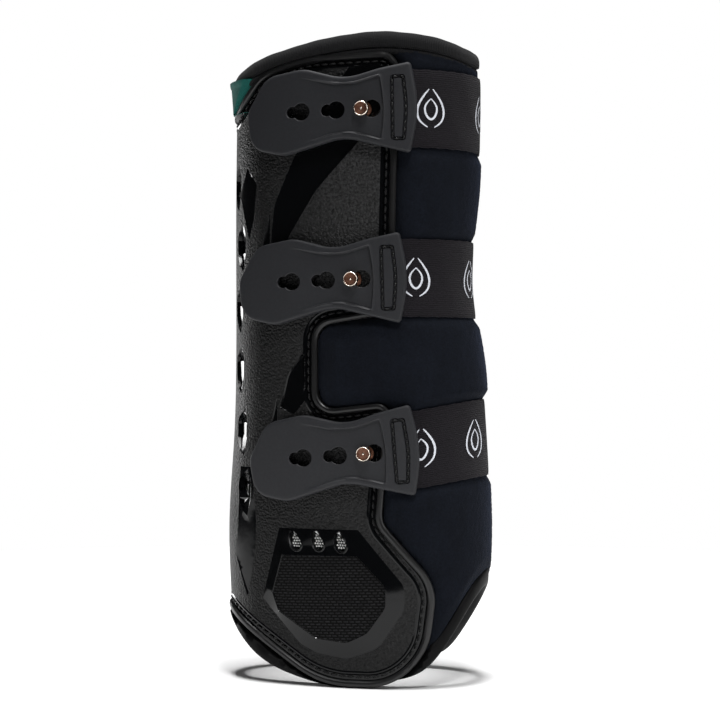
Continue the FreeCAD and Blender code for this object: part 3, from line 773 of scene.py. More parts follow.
def shell_plan():
    """The lateral half of the shell as flat triangles, with heights and a zone for each."""
    sheet = Sheet()
    ends = []
    lines = []
    for inset, height in RIM_PROFILE:
        line = cut_at_back(rounded(SHELL_OUTLINE, inset))
        lines.append(line)
        sheet.line(line, height, closed=False)
        ends += [(line[0][1], height), (line[-1][1], height)]
    low, high = lines[0][-1][1], lines[0][0][1]
    field_low, field_high = lines[-1][-1][1], lines[-1][0][1]
    back = sorted(ends + [(z, 0.0) for z in np.arange(field_low + 2, field_high - 1, 2.0)])
    sheet.line([(-girth(z)[1], z) for z, h in back], [h for z, h in back], closed=False)

    def add_shape(outline, height):
        sheet.line(to_plan(outline), height)

    holes, gloss, spindles = [], [], []
    for x, z in SHIELD_VENTS:
        for inset, share in ((-0.9, 0.62), (-0.45, 0.8), (0.0, 0.45)):
            add_shape(shield_vent(x, z, inset=inset), SHIELD_HEIGHT * share)
        holes.append(to_plan(shield_vent(x, z)))
    for vent in TENDON_VENTS:
        rim, floor = tendon_vent(vent, VENT_OUTLINE), tendon_vent(vent, VENT_OUTLINE, 0.35)
        slot = tendon_vent(vent, VENT_SLOT)
        sheet.line(rim, 0.0)
        sheet.line(floor, vent_height(floor, vent))
        sheet.line(slot, vent_height(slot, vent))
        for level in (VENT_TOP_FACET, vent[2] + CREASE, vent[2] - CREASE, vent[3]):
            across = np.array([(vent[0] + t, vent[1] + level) for t in np.linspace(-5, 5.2, 18)])
            clear = (distance(across, floor) > 0.25) & (distance(across, slot) > 0.2)
            crease = across[inside(across, floor) & clear & (across[:, 0] < vent[0] + 3.3)]
            sheet.line(crease, vent_height(crease, vent), closed=False)
        holes.append(slot)
        spindles.append(rim)
    for facet in FACETS.values():
        outer, inner = rounded(facet[0], 0.0, 1.6), rounded(facet[0], 0.45, 1.6)
        add_shape(outer, 0.0)
        add_shape(inner, facet_height(inner, facet))
        gloss.append(to_plan(outer))
    outer, inner = rounded(SHIELD_OUTER), rounded(SHIELD_INNER)
    add_shape(outer, 0.0)
    add_shape(inner, SHIELD_HEIGHT)
    add_shape(rounded(SHIELD_INNER, 0.4), PANEL_HEIGHT)
    shield, ring_inner, panel = to_plan(outer), to_plan(inner), to_plan(rounded(SHIELD_INNER, 0.2))
    for a, b in zip(SHIELD_OUTER, SHIELD_INNER):
        t = np.linspace(0, 1, 8)[1:-1, None]
        crease = np.array(a[:2]) * (1 - t) + np.array(b[:2]) * t
        to_outer, to_inner = distance(crease, outer), distance(crease, inner)
        on_ring = inside(crease, outer) & ~inside(crease, inner) & (to_outer > 0.7) & (to_inner > 0.7)
        rise = SHIELD_HEIGHT * to_outer / (to_outer + to_inner)
        sheet.line(to_plan(crease)[on_ring], rise[on_ring], closed=False)

    grid = np.array([(s, z) for z in np.arange(4, 290, FIELD_STEP) for s in np.arange(-88, 40, FIELD_STEP)])
    grid += np.array([(0.6 * math.sin(i * 1.7), 0.6 * math.cos(i * 2.3)) for i in range(len(grid))])
    grid = grid[inside(grid, looped(lines[-1]))]
    back_s = -girth(grid[:, 1])[1]
    grid = grid[grid[:, 0] > back_s + 1.0]
    clear = distance(grid, lines[-1], closed=False) > 0.9
    for shape in holes + gloss + spindles + [shield, ring_inner]:
        clear &= distance(grid, shape) > 0.8
    grid = grid[clear]
    heights = np.zeros(len(grid))
    flat = on_form(grid[:, 0], grid[:, 1])[:, [0, 2]]
    for facet, outline in zip(FACETS.values(), gloss):
        within = inside(grid, outline)
        heights[within] = facet_height(flat[within], facet)
    ring = inside(grid, shield) & ~inside(grid, ring_inner)
    to_inner, to_outer = distance(grid, ring_inner), distance(grid, shield)
    heights[ring] = (SHIELD_HEIGHT * to_outer / (to_outer + to_inner))[ring]
    heights[inside(grid, ring_inner)] = PANEL_HEIGHT
    keep = np.ones(len(grid), bool)
    for shape in spindles + holes:
        keep &= ~inside(grid, shape)
    keep &= ~ring
    sheet.fill(grid[keep], heights[keep])

    outline = np.vstack([lines[0], [(-girth(z)[1], z) for z in np.linspace(low, high, 90)[1:-1]]])
    verts, heights, faces = sheet.cut(outline, holes)
    centres = verts[faces].mean(1)
    zone = np.zeros(len(faces), int)
    rim_inner = looped(lines[BEAD_END])
    field = looped(lines[-1])
    zone[~inside(centres, rim_inner)] = ZONE_RIM
    zone[inside(centres, rim_inner) & ~inside(centres, field)] = ZONE_GLOSS
    for shapes, number in ((gloss, ZONE_GLOSS), (spindles, ZONE_VENT)):
        for shape in shapes:
            zone[inside(centres, shape)] = number
    zone[inside(centres, shield)] = ZONE_GLOSS
    zone[inside(centres, panel)] = ZONE_PANEL
    return verts, heights, faces, zone


def make_shell():
    verts, heights, faces, zone = shell_plan()
    count = len(verts)
    faces = wound(verts, faces)
    top = on_form(verts[:, 0], verts[:, 1], heights)
    bottom = on_form(verts[:, 0], verts[:, 1], SHELL_BACK)
    on_back = np.abs(verts[:, 0] + girth(verts[:, 1])[1]) < 1e-3
    top[on_back, 1] = bottom[on_back, 1] = 0.0
    # the medial half mirrors the lateral one and shares the points on the back's line
    number = np.where(on_back, np.arange(count), np.arange(count) + count)
    mirror = top * np.array([1, -1, 1]), bottom * np.array([1, -1, 1])
    both = np.vstack([faces, number[faces][:, ::-1]])
    points, solid = closed_solid(np.vstack([top, mirror[0]]), np.vstack([bottom, mirror[1]]), both)
    walls = np.full(len(solid) - 2 * len(both), ZONE_RIM)
    zones = np.r_[zone, zone, np.full(len(both), ZONE_GRAIN), walls]
    place = np.vstack([verts] * 4)
    shell = mesh_object("moulded_shell", points, solid, [GRAIN, GLOSS, RIM, PANEL, GLOSS], zones, place)
    drop_loose_points(shell)
    sharpen_zones(shell, 24)
    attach(shell, "boot")
    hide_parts("shell", "strike_pad_lateral", "strike_pad_medial")


def drop_loose_points(piece):
    """Removes points that no face uses."""
    work = bmesh.new()
    work.from_mesh(piece.data)
    bmesh.ops.delete(work, geom=[v for v in work.verts if not v.link_faces], context="VERTS")
    bmesh.ops.recalc_face_normals(work, faces=work.faces)
    work.to_mesh(piece.data)
    work.free()


def sharpen_zones(piece, angle):
    """Keeps the edges between materials crisp, and any edge sharper than the angle."""
    piece.data.set_sharp_from_angle(angle=math.radians(angle))
    work = bmesh.new()
    work.from_mesh(piece.data)
    for edge in work.edges:
        zones = {f.material_index for f in edge.link_faces}
        if len(zones) > 1 or (zones == {ZONE_VENT} and edge.calc_face_angle(0) > VENT_CRISP):
            edge.smooth = False
    work.to_mesh(piece.data)
    work.free()


def make_shell_stitches():
    """Black stitches in the shell's channel, on both sides."""
    verts, faces, places = [], [], []
    line = cut_at_back(rounded(SHELL_OUTLINE, 4.6, 0.8))
    points = on_form(line[:, 0], line[:, 1], -0.35)
    normals = on_form(line[:, 0], line[:, 1], 0.65) - points
    for side in (1, -1):
        flip = np.array([1, side, 1])
        v, f, p = stitches((points * flip, normals * flip), 3.1, 0.9, 0.5)
        faces += [tuple(q + len(verts) for q in face) for face in f]
        verts += v
        places += p
    piece = mesh_object("shell_thread", verts, faces, [THREAD], place=places)
    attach(piece, "boot")
    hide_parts("shell_stitching")


# ------------------------------------------------------------------ tabs
TAB_OUTLINE = (
    (22.4, 20.8, 1.8), (8.0, 18.2, 14), (-8.0, 14.1, 26), (-28.0, 19.8, 18), (-47.0, 17.2, 12),
    (-57.5, 1.0, 9), (-55.6, -15.6, 10), (-38.5, -19.8, 14), (-9.0, -12.6, 24), (21.8, -20.8, 1.8),
    (26.2, 0.0, 60),
)
TAB_EDGE = ((0.0, -1.5), (0.15, -0.8), (0.45, -0.3), (0.9, -0.06), (1.5, 0.0), (2.6, -0.02))
TAB_PANEL = (
    (8.2, 14.9, 0.8), (-3.0, 11.9, 18), (-14.0, 12.0, 26), (-32.0, 16.5, 2), (-35.0, 0.0, 40),
    (-32.0, -15.8, 2), (-15.0, -11.0, 22), (-5.0, -10.0, 22), (8.6, -14.2, 0.8), (10.4, 0.0, 60),
)
PANEL_SINK, UNDERCUT = 0.9, 1.3
SEWN_FROM = 11.3                             # where the tab starts to lie on the elastic, along the tab
SPREAD_REACH = 1.6                           # how far round a keyhole the underside opens out
STITCH_BOX = ((13.2, 14.8, 1.2), (19.6, 14.8, 1.2), (21.0, 0, 60), (19.6, -14.8, 1.2), (13.2, -14.8, 1.2))


def keyhole(reach, grow=0.0):
    """Outline of a small and a large lobe that run into each other."""
    r1, r2 = LOBE_SMALL + grow, LOBE_LARGE + grow
    a = (LOBE_STEP**2 + r1**2 - r2**2) / (2 * LOBE_STEP)
    t1, t2 = math.acos(a / r1), math.acos((a - LOBE_STEP) / r2)
    small = [(reach + r1 * math.cos(t), r1 * math.sin(t)) for t in np.linspace(t1, 2 * math.pi - t1, 16)]
    large = [(reach + LOBE_STEP + r2 * math.cos(t), r2 * math.sin(t)) for t in np.linspace(-t2, t2, 22)]
    return np.array(small + large[1:-1])


def tab_point(x, z, slope, plan, offset):
    """From along and across the tab to the boot: the tab lies on the lateral side's own arc."""
    turn = math.radians(slope)
    px = x + plan[:, 0] * math.cos(turn) - plan[:, 1] * math.sin(turn)
    pz = z + plan[:, 0] * math.sin(turn) + plan[:, 1] * math.cos(turn)
    angle = np.arcsin((px - SIDE_X) / (SIDE_RADIUS + 3.0))
    r = SIDE_RADIUS + offset
    return np.stack([SIDE_X + r * np.sin(angle), SIDE_Y - r * np.cos(angle), pz], 1)


def spread_keyholes(verts):
    """The tab's points moved out round the keyholes, for the underside."""
    spread = verts.copy()
    for i in range(3):
        for lobe, radius, other_radius, share in ((0.0, LOBE_SMALL, LOBE_LARGE, 0.5),
                                                  (LOBE_STEP, LOBE_LARGE, LOBE_SMALL, 1.0)):
            arm = verts - np.array([lobe - i * KEYHOLE_PITCH, 0.0])
            reach = np.linalg.norm(arm, axis=1)
            other = np.linalg.norm(verts - np.array([LOBE_STEP - lobe - i * KEYHOLE_PITCH, 0.0]), axis=1)
            near = (np.abs(reach - radius) < SPREAD_REACH) & (other > other_radius - 0.02)
            grown = radius + UNDERCUT + (reach - radius) * (SPREAD_REACH - UNDERCUT) / SPREAD_REACH
            spread[near] += (arm / reach[:, None] * (grown - reach)[:, None])[near] * share
    return spread


def make_tab(name, x, z, slope):
    sheet = Sheet()
    for inset, height in TAB_EDGE:
        sheet.line(rounded(TAB_OUTLINE, inset, 1.0), height)
    edge = rounded(TAB_OUTLINE, 2.6, 1.0)
    panel, panel_in = rounded(TAB_PANEL, 0.0, 1.0), rounded(TAB_PANEL, 0.4, 1.0)
    box_lines = [rounded(STITCH_BOX, inset, 1.0) for inset in (-0.25, 0.15, 1.3, 1.7)]
    holes = [keyhole(-i * KEYHOLE_PITCH) for i in range(3)]
    lips = [keyhole(-i * KEYHOLE_PITCH, 0.25) for i in range(3)]

    def sink(p):
        """The sunk panel's depth, which fades away towards the tab's free end."""
        return -PANEL_SINK * np.clip((p[:, 0] + 30) / 18, 0, 1)

    lip_line = rounded(TAB_PANEL, -0.35, 1.0)
    sheet.line(rounded(TAB_PANEL, -0.9, 1.0), 0.0)
    sheet.line(lip_line, -0.3 * sink(lip_line))
    sheet.line(panel, 0.0)
    sheet.line(panel_in, sink(panel_in))
    for line, height in zip(box_lines, (0.0, -1.0, -1.0, 0.05)):
        sheet.line(line, height)
    for hole, lip in zip(holes, lips):
        sheet.line(hole, sink(hole) - 0.2)
        sheet.line(lip, sink(lip))
    grid = np.array([(a, b) for a in np.arange(-58, 26, 1.9) for b in np.arange(-24, 24, 1.9)])
    grid = grid[inside(grid, edge) & (distance(grid, edge) > 0.7)]
    for shape in [panel, *box_lines, *lips]:
        grid = grid[distance(grid, shape) > 0.6]
    for lip in lips:
        grid = grid[~inside(grid, lip)]
    heights = np.where(inside(grid, panel), sink(grid), 0.0)
    heights = np.where(inside(grid, box_lines[2]), 0.1, heights)
    sheet.fill(grid, heights)
    verts, heights, faces = sheet.cut(rounded(TAB_OUTLINE, 0.0, 1.0), holes)
    faces = wound(verts, faces)
    under = np.where(verts[:, 0] > SEWN_FROM, TAB_SEWN_INNER, TAB_INNER)
    top = tab_point(x, z, slope, verts, TAB_OUTER + heights)
    bottom = tab_point(x, z, slope, spread_keyholes(verts), under)
    points, solid = closed_solid(top, bottom, faces)
    piece = mesh_object("rubber_tab_" + name, points, solid, [RUBBER], place=np.vstack([verts, verts]))
    drop_loose_points(piece)
    piece.data.set_sharp_from_angle(angle=math.radians(30))
    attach(piece, "tab_" + name)
    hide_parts("tab_" + name)

    line = rounded(STITCH_BOX, 0.72, 0.5)
    line = looped(line)
    points = tab_point(x, z, slope, line, TAB_OUTER - 0.6)
    normals = tab_point(x, z, slope, line, TAB_OUTER + 0.3) - points
    v, f, p = stitches((points, normals), 2.6, 0.7, 0.55)
    thread = mesh_object("tab_thread_" + name, v, f, [THREAD], place=p)
    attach(thread, "tab_" + name)
    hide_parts("tab_stitching_" + name)


# ------------------------------------------------------------------ studs
def side_axis(x, z):
    """A point on the lateral face and its outward direction."""
    lean = (x - SIDE_X) / SIDE_RADIUS
    normal = np.array([lean, -math.sqrt(1 - lean * lean), 0])
    return np.array([SIDE_X, SIDE_Y, z]) + normal * SIDE_RADIUS, normal


def lathe(name, base, normal, profile, bands, materials, segments=48):
    """Turns a profile of radius and height; bands says which material each step has."""
    u = np.cross(normal, [0, 0, 1.0])
    u /= np.linalg.norm(u)
    v = np.cross(normal, u)
    points, places = [], []
    for r, h in profile:
        for k in range(segments):
            t = 2 * math.pi * k / segments
            points.append(base + normal * h + (u * math.cos(t) + v * math.sin(t)) * r)
            places.append((r, t * 3))
    faces = grid_faces(len(profile), segments, False, True)
    zones = [bands[i // segments] for i in range(len(faces))]
    return mesh_object(name, points, faces, materials, zones, places, sharp=32)


# turned profiles, as radius and height off the shell; a band of 1 is copper
STUD_PROFILE = ((2.2, 0.8), (2.2, 4.7), (3.1, 4.85), (3.45, 5.2), (3.5, 5.9), (3.42, 6.5), (3.2, 6.8),
                (3.08, 6.9), (2.92, 6.8), (2.84, 6.45), (2.78, 6.1), (1.6, 6.05), (0.55, 6.02),
                (0.45, 6.25), (0.25, 6.33), (0.001, 6.34))
STUD_BANDS = (0,) * 9 + (1,) * 4 + (0,) * 2
WASHER_PROFILE = ((3.8, 0.05), (3.85, 0.45), (3.7, 0.8), (3.3, 0.95), (2.9, 0.85), (2.2, 0.8))


def make_stud(name, x, z):
    base, normal = side_axis(x, z)
    head = lathe("stud_head_" + name, base, normal, STUD_PROFILE, STUD_BANDS, [NICKEL, COPPER])
    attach(head, "boot")
    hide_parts("stud_" + name)
    flange = lathe("stud_washer_" + name, base, normal, WASHER_PROFILE, [1] * 5, [NICKEL, COPPER])
    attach(flange, "boot")
    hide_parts("stud_flange_" + name)


# ------------------------------------------------------------------ elastic
KNEE = 22.0                                  # from the stud to where the elastic starts to rise
TAB_END_X, ANCHOR_X = 25.7, 6.3              # where each elastic starts and ends
BEND_HALF, MOTIF_POINTS = 0.004, 26          # half the elastic's bend, in metres; points in a stroke


def strap_height(strap, x):
    """The band's middle height at x."""
    stud_x, z, slope, rise = strap[1:5]
    return z + KNEE * math.tan(math.radians(slope)) + np.maximum(x - stud_x - KNEE, 0) * rise


def strap_line(strap, start_x, end_x, step=0.8):
    """Distances round, from the tab's end over the front to the medial anchor."""
    z = strap[2]
    start = float(round_to(np.array(start_x), z))
    to_front = float(girth(z)[0])
    end = 2 * to_front - float(round_to(np.array(end_x), z))
    return np.arange(start, end, step)


def make_elastic(strap):
    name = strap[0]
    s = strap_line(strap, TAB_END_X, ANCHOR_X)
    x = on_form(s, strap[2])[:, 0]
    middle = strap_height(strap, x)
    half = ELASTIC_WIDTH / 2
    section = [(v, 1.0) for v in np.linspace(-1, 1, 25)] + [(v, 0.0) for v in np.linspace(1, -1, 25)]
    points, places = [], []
    for i, si in enumerate(s):
        wave = 0.12 * math.sin(si * 0.9) + 0.08 * math.sin(si * 2.3)
        for v, outer in section:
            edge = abs(v)**10
            height = middle[i] + v * (half + wave * (abs(v) > 0.9))
            thick = (ELASTIC_OUTER - 0.35 * edge) if outer else (ELASTIC_INNER + 0.3 * edge)
            belly = 0.12 * math.sin(si * 0.35 + v * 3) * (1 - v * v) if outer else 0
            points.append((si, height, thick + belly))
            places.append((si, v * half))
    p = np.array(points)
    piece = band("elastic_band_" + name, on_form(p[:, 0], p[:, 1], p[:, 2]), len(section), [ELASTIC], places)
    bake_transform(piece)
    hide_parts("elastic_front_" + name, "elastic_side_" + name)
    make_motifs(strap)


def motif_strokes():
    """A generic mark: a tall lozenge in two open strokes round a small diamond."""
    left = [(-0.9, 9.0), (-4.2, 4.6), (-6.3, -0.6), (-5.4, -5.2), (-1.6, -8.4)]
    right = [(0.9, 9.0), (4.2, 4.6), (6.3, -0.6), (5.4, -5.2), (1.6, -8.4)]
    inner = [(0.0, 4.6), (2.9, -0.4), (0.0, -4.8), (-2.9, -0.4), (0.0, 4.6)]
    return left, right, inner


def make_motifs(strap):
    """Printed marks in a row round the elastic."""
    name, z, prints = strap[0], strap[2], strap[5]
    to_front = float(girth(z)[0])
    marks = np.arange(prints[0], 2 * to_front - 35, prints[1] - prints[0])
    verts, faces, places = [], [], []
    for m in marks:
        for stroke in motif_strokes():
            line = np.array(stroke, float)
            run = np.r_[0, np.cumsum(np.linalg.norm(np.diff(line, axis=0), axis=1))]
            t = np.linspace(0, run[-1], MOTIF_POINTS)
            px, pz = smooth_curve(run, line[:, 0])(t), smooth_curve(run, line[:, 1])(t)
            dx, dz = np.gradient(px), np.gradient(pz)
            norm = np.hypot(dx, dz)
            part = (np.arange(MOTIF_POINTS) + 1.5) / (MOTIF_POINTS + 2)
            width = 0.5 * np.sin(np.pi * np.clip(part, 0, 1))**0.5
            base = len(verts)
            for k in range(MOTIF_POINTS):
                for side in (-1, 1):
                    a = m + px[k] - dz[k] / norm[k] * width[k] * side
                    b = pz[k] + dx[k] / norm[k] * width[k] * side
                    places.append((a, b))
                    verts.append((a, b))
            faces += [tuple(base + q for q in f) for f in grid_faces(MOTIF_POINTS, 2)]
    v = np.array(verts)
    x = on_form(v[:, 0], z)[:, 0]
    visible = on_form(v[:, 0], strap_height(strap, x) + v[:, 1], ELASTIC_OUTER + 0.17)
    keep_from = float(round_to(np.array(26.0), z))
    shown = [f for f in faces if v[list(f), 0].min() > keep_from]
    piece = mesh_object("printed_marks_" + name, visible, shown, [PRINT], place=places)
    drop_loose_points(piece)
    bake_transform(piece)


# ------------------------------------------------------------------ neoprene, rolls, lining
def strap_press(s, z):
    """How strongly the straps press the sleeve in, from 0 between them to 1 under them."""
    press = np.zeros(np.shape(s))
    for strap in STRAPS:
        x = on_form(s, z)[..., 0]
        middle = strap_height(strap, x)
        press = np.maximum(press, 1 - ease((np.abs(z - middle) - ELASTIC_WIDTH / 2 + 1.5) / 7.0))
    return press


# how far the sleeve stands out between the straps: everywhere, and more round one height
FULLNESS, FULLNESS_PEAK, PEAK_Z, PEAK_WIDTH = 2.0, 1.4, 147, 30
SLEEVE_TUCK = -2.7                           # the sleeve's face where it runs under the shell
NAP = 0.13                                   # jitter of the sleeve's face
WAIST = 150.0                                # the height at which distances round are laid out


def make_neoprene():
    """The plush sleeve: pinched under the straps, full between them, tucked under the shell."""
    to_front = girth(WAIST)[0]
    rows, columns = 236, 190
    s = np.linspace(-26, 2 * to_front + 26, columns)
    t = np.linspace(0, 1, rows)
    S = np.repeat(s[None], rows, 0)
    x = on_form(s, WAIST)[:, 0]
    low, high = lower_edge(s, x) + 7.5, top_edge(x) - 8.6
    Z = low[None] + (high - low)[None] * t[:, None]
    X = on_form(S, Z)[..., 0]
    past = past_shell(X, Z)
    press = strap_press(S, Z)
    edge = np.minimum(Z - low[None], high[None] - Z)
    fullness = FULLNESS + FULLNESS_PEAK * np.exp(-((Z - PEAK_Z) / PEAK_WIDTH)**2)
    ripple = 0.45 * np.sin(S * 0.11 + Z * 0.05) * (1 - press) * ease(past / 14)
    puff = (fullness * (1 - press) * ease(past / 11) + ripple) * ease((edge + 1) / 9)
    offset = np.where(past < 0, SLEEVE_TUCK, -0.9 + 1.5 * ease(past / 3.5) + puff)
    nap = random.Random(5)
    jitter = np.array([nap.uniform(-NAP, NAP) for k in range(offset.size)]).reshape(offset.shape)
    offset += jitter * (offset > -0.5)
    skin = on_form(S, Z, offset)
    back = on_form(S, Z, -8.0)
    n = rows * columns
    faces = grid_faces(rows, columns)
    under = [tuple(v + n for v in f[::-1]) for f in faces]
    rim = [(i * columns) for i in range(rows)] + [(rows - 1) * columns + j for j in range(1, columns)]
    rim += [i * columns + columns - 1 for i in range(rows - 2, -1, -1)] + list(range(columns - 2, 0, -1))
    walls = [(a, b, b + n, a + n) for a, b in zip(rim, rim[1:] + rim[:1])]
    place = np.stack([S.ravel(), Z.ravel()], 1)
    piece = mesh_object("neoprene_sleeve", np.vstack([skin.reshape(-1, 3), back.reshape(-1, 3)]),
                        faces + under + walls, [NEOPRENE], place=np.vstack([place, place]))
    drop_loose_points(piece)
    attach(piece, "boot")
    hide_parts("neoprene_body")


def ring_places(step):
    """Distances round the whole form, evenly spaced, and the form's x there."""
    to_front, to_back = girth(WAIST)
    count = int(2 * (to_front + to_back) / step)
    s = np.linspace(-to_back, 2 * to_front + to_back, count, endpoint=False)
    return s, on_form(s, WAIST)[:, 0]


def around(s):
    """The same place round the form at any height: front and back tips stay tips."""
    f0, b0 = girth(WAIST)

    def at(z):
        f, b = girth(z)
        medial = s > f0
        s1 = np.where(medial, 2 * f0 - s, s)
        s1 = np.where(s1 > 0, s1 * f / f0, s1 * b / b0)
        return s1, medial
    return at


def ring_point(s, z, offset):
    """Like on_form, but closes exactly round the back at every height."""
    s1, medial = around(s)(z)
    p = on_form(s1, z, offset)
    return p * np.where(medial, -1, 1)[..., None]**np.array([0, 1, 0])


# the collar's underside: flat below, then a welt with a seam above it
COLLAR_SEAM = [(-3.6, -4.9), (-1.0, -5.4), (2.6, -5.4), (4.3, -5.2), (4.95, -4.5), (5.1, -3.7),
               (4.9, -2.95), (4.1, -2.5), (4.0, -2.3), (5.0, -2.0), (5.5, -1.5)]
ROLL_MIDDLE = -4.3                           # how deep the middle of the collar and the binding lies


def make_collar():
    """The padded collar: a soft roll over the top edge with fine ribs and a seam below."""
    s, x = ring_places(1.1)
    profile = [(5.9 * math.copysign(abs(math.cos(w))**0.78, math.cos(w)),
                5.5 * math.copysign(abs(math.sin(w))**0.8, math.sin(w))) for w in np.linspace(-0.22, 3.7, 30)]
    profile += COLLAR_SEAM
    section = len(profile)
    points, places = [], []
    edge = top_edge(x)
    run = np.r_[0, np.cumsum(np.linalg.norm(np.diff(profile, axis=0), axis=1))]
    for (wide, tall), along in zip(profile, run):
        lump = 0.09 * np.sin(s * 0.21) + 0.06 * np.sin(s * 0.53 + 1)
        z = edge - 5.4 + tall + (lump if tall > 0 else 0)
        points.append(ring_point(s, z, np.full(len(s), ROLL_MIDDLE) + wide * (1 + 0.02 * lump)))
        places.append(np.stack([s, np.full(len(s), along)], 1))
    p, q = np.array(points), np.array(places)
    order = p.transpose(1, 0, 2).reshape(-1, 3), q.transpose(1, 0, 2).reshape(-1, 2)
    piece = band("padded_collar", order[0], section, [KNIT], order[1], loop=True)
    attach(piece, "boot")
    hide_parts("top_roll")


MEDIAL_CUT = 4.0                             # how far the medial front is moved along the edge's curve


def lower_edge(s, x):
    """The lower edge's height; the medial side's front is cut a little higher."""
    medial = s > girth(WAIST)[0]
    return bottom_edge(x + np.where(medial, MEDIAL_CUT * ease((x - 8) / 20) * ease((62 - x) / 24), 0.0))


def make_bottom_binding():
    """Smooth binding folded round the lower edge; it dives under the shell where they meet."""
    s, x = ring_places(1.2)
    section = 30
    edge = lower_edge(s, x)
    points, places = [], []
    for k in range(section):
        w = 2 * math.pi * k / section
        c, q = math.cos(w), math.sin(w)
        wide = 5.5 * np.sign(c) * abs(c)**0.45
        tall = 4.9 * np.sign(q) * abs(q)**0.5
        z = edge + 4.9 + tall
        offset = np.full(len(s), ROLL_MIDDLE) + wide
        past = past_shell(ring_point(s, z, np.zeros(len(s)))[:, 0], z)
        dive = SLEEVE_TUCK + 3.6 * ease((past - 0.1) / 1.6) * (past > 0)
        offset = np.where(past < 1.2, np.minimum(offset, dive), offset)
        points.append(ring_point(s, z, offset))
        places.append(np.stack([s, np.full(len(s), w * 5.0)], 1))
    p, q = np.array(points), np.array(places)
    piece = band("bottom_edge_binding", p.transpose(1, 0, 2).reshape(-1, 3), section, [BINDING],
                 q.transpose(1, 0, 2).reshape(-1, 2), loop=True)
    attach(piece, "boot")
    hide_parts("bottom_binding")


def make_lining():
    """The lining against the leg: a thin closed sleeve."""
    s, x = ring_places(3.0)
    rows = 60
    low, high = lower_edge(s, x) + 4, top_edge(x) - 5
    points, places = [], []
    for i in range(rows):
        z = low + (high - low) * i / (rows - 1)
        points.append(ring_point(s, z, np.full(len(s), LINING_SKIN + 0.12 * math.sin(i))))
        places.append(np.stack([s, z], 1))
    outer = [ring_point(s, low + (high - low) * i / (rows - 1), np.full(len(s), -8.2)) for i in range(rows)]
    columns = len(s)
    faces = [f[::-1] for f in grid_faces(rows, columns, False, True)]
    n = rows * columns
    faces += [tuple(v + n for v in f[::-1]) for f in faces]
    for row in (0, rows - 1):
        for j in range(columns):
            a, b = row * columns + j, row * columns + (j + 1) % columns
            faces.append((a, b, b + n, a + n))
    q = np.vstack(places)
    piece = mesh_object("sleeve_lining", np.vstack([np.vstack(points), np.vstack(outer)]), faces, [LINING],
                        place=np.vstack([q, q]))
    drop_loose_points(piece)
    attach(piece, "boot")
    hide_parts("inner_lining")


# ------------------------------------------------------------------ small pieces
# the anchor patch's rounded edge and stitch channel, as inset and height
ANCHOR_PROFILE = ((0, -0.8), (0.3, -0.35), (0.8, -0.08), (1.3, 0.0), (2.2, 0.0), (2.6, -0.4), (3.7, -0.4),
                  (4.1, 0.0))
ANCHOR_MIDDLE_X = 14.0


def make_anchor(strap):
    """A sewn rubber patch over the elastic's medial end."""
    name, z = strap[0], strap[2]
    outline = ((-8, -19.5, 2.5), (8, -19.5, 2.5), (8, 19.5, 2.5), (-8, 19.5, 2.5))
    sheet = Sheet()
    for inset, height in ANCHOR_PROFILE:
        sheet.line(rounded(outline, inset, 1.2), height)
    grid = np.array([(a, b) for a in np.arange(-7, 8, 2.0) for b in np.arange(-18, 19, 2.0)])
    grid = grid[inside(grid, rounded(outline, 4.6, 1.2))]
    sheet.fill(grid, 0.0)
    verts, heights, faces = sheet.cut(rounded(outline, 0, 1.2), [])
    faces = wound(verts, faces, -1)

    def medial(plan, offset):
        s = round_to(plan[:, 0] + ANCHOR_MIDDLE_X, z)
        return on_form(s, plan[:, 1] + z, offset) * np.array([1, -1, 1])

    points, solid = closed_solid(medial(verts, 4.0 + heights), medial(verts, np.full(len(verts), 2.5)), faces)
    piece = mesh_object("anchor_patch_" + name, points, solid, [RUBBER], place=np.vstack([verts, verts]))
    drop_loose_points(piece)
    piece.data.set_sharp_from_angle(angle=math.radians(38))
    line = rounded(outline, 3.15, 0.6)
    line = looped(line)
    path = medial(line, np.full(len(line), 3.75))
    normals = medial(line, np.full(len(line), 4.75)) - path
    v, f, p = stitches((path, normals), 2.7, 0.7, 0.42)
    thread = mesh_object("anchor_thread_" + name, v, f, [THREAD], place=p)
    for made, slot in ((piece, "tab_rubber"), (thread, "thread")):
        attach(made, "boot")
    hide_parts("strap_anchor_" + name)


KNOT_PITCH, KNOT_RADIUS = 1.25, 0.48
KNOT_RINGS = [(KNOT_RADIUS * math.sin(u), KNOT_RADIUS * math.cos(u)) for u in (0.35, 1.0, 1.6, 2.3)]
KNOT_DEPTHS = (-0.5, -1.7)                   # in the shield's vents, and in the tendon's
LABEL_LOW, LABEL_HIGH = 266.0, 281.5


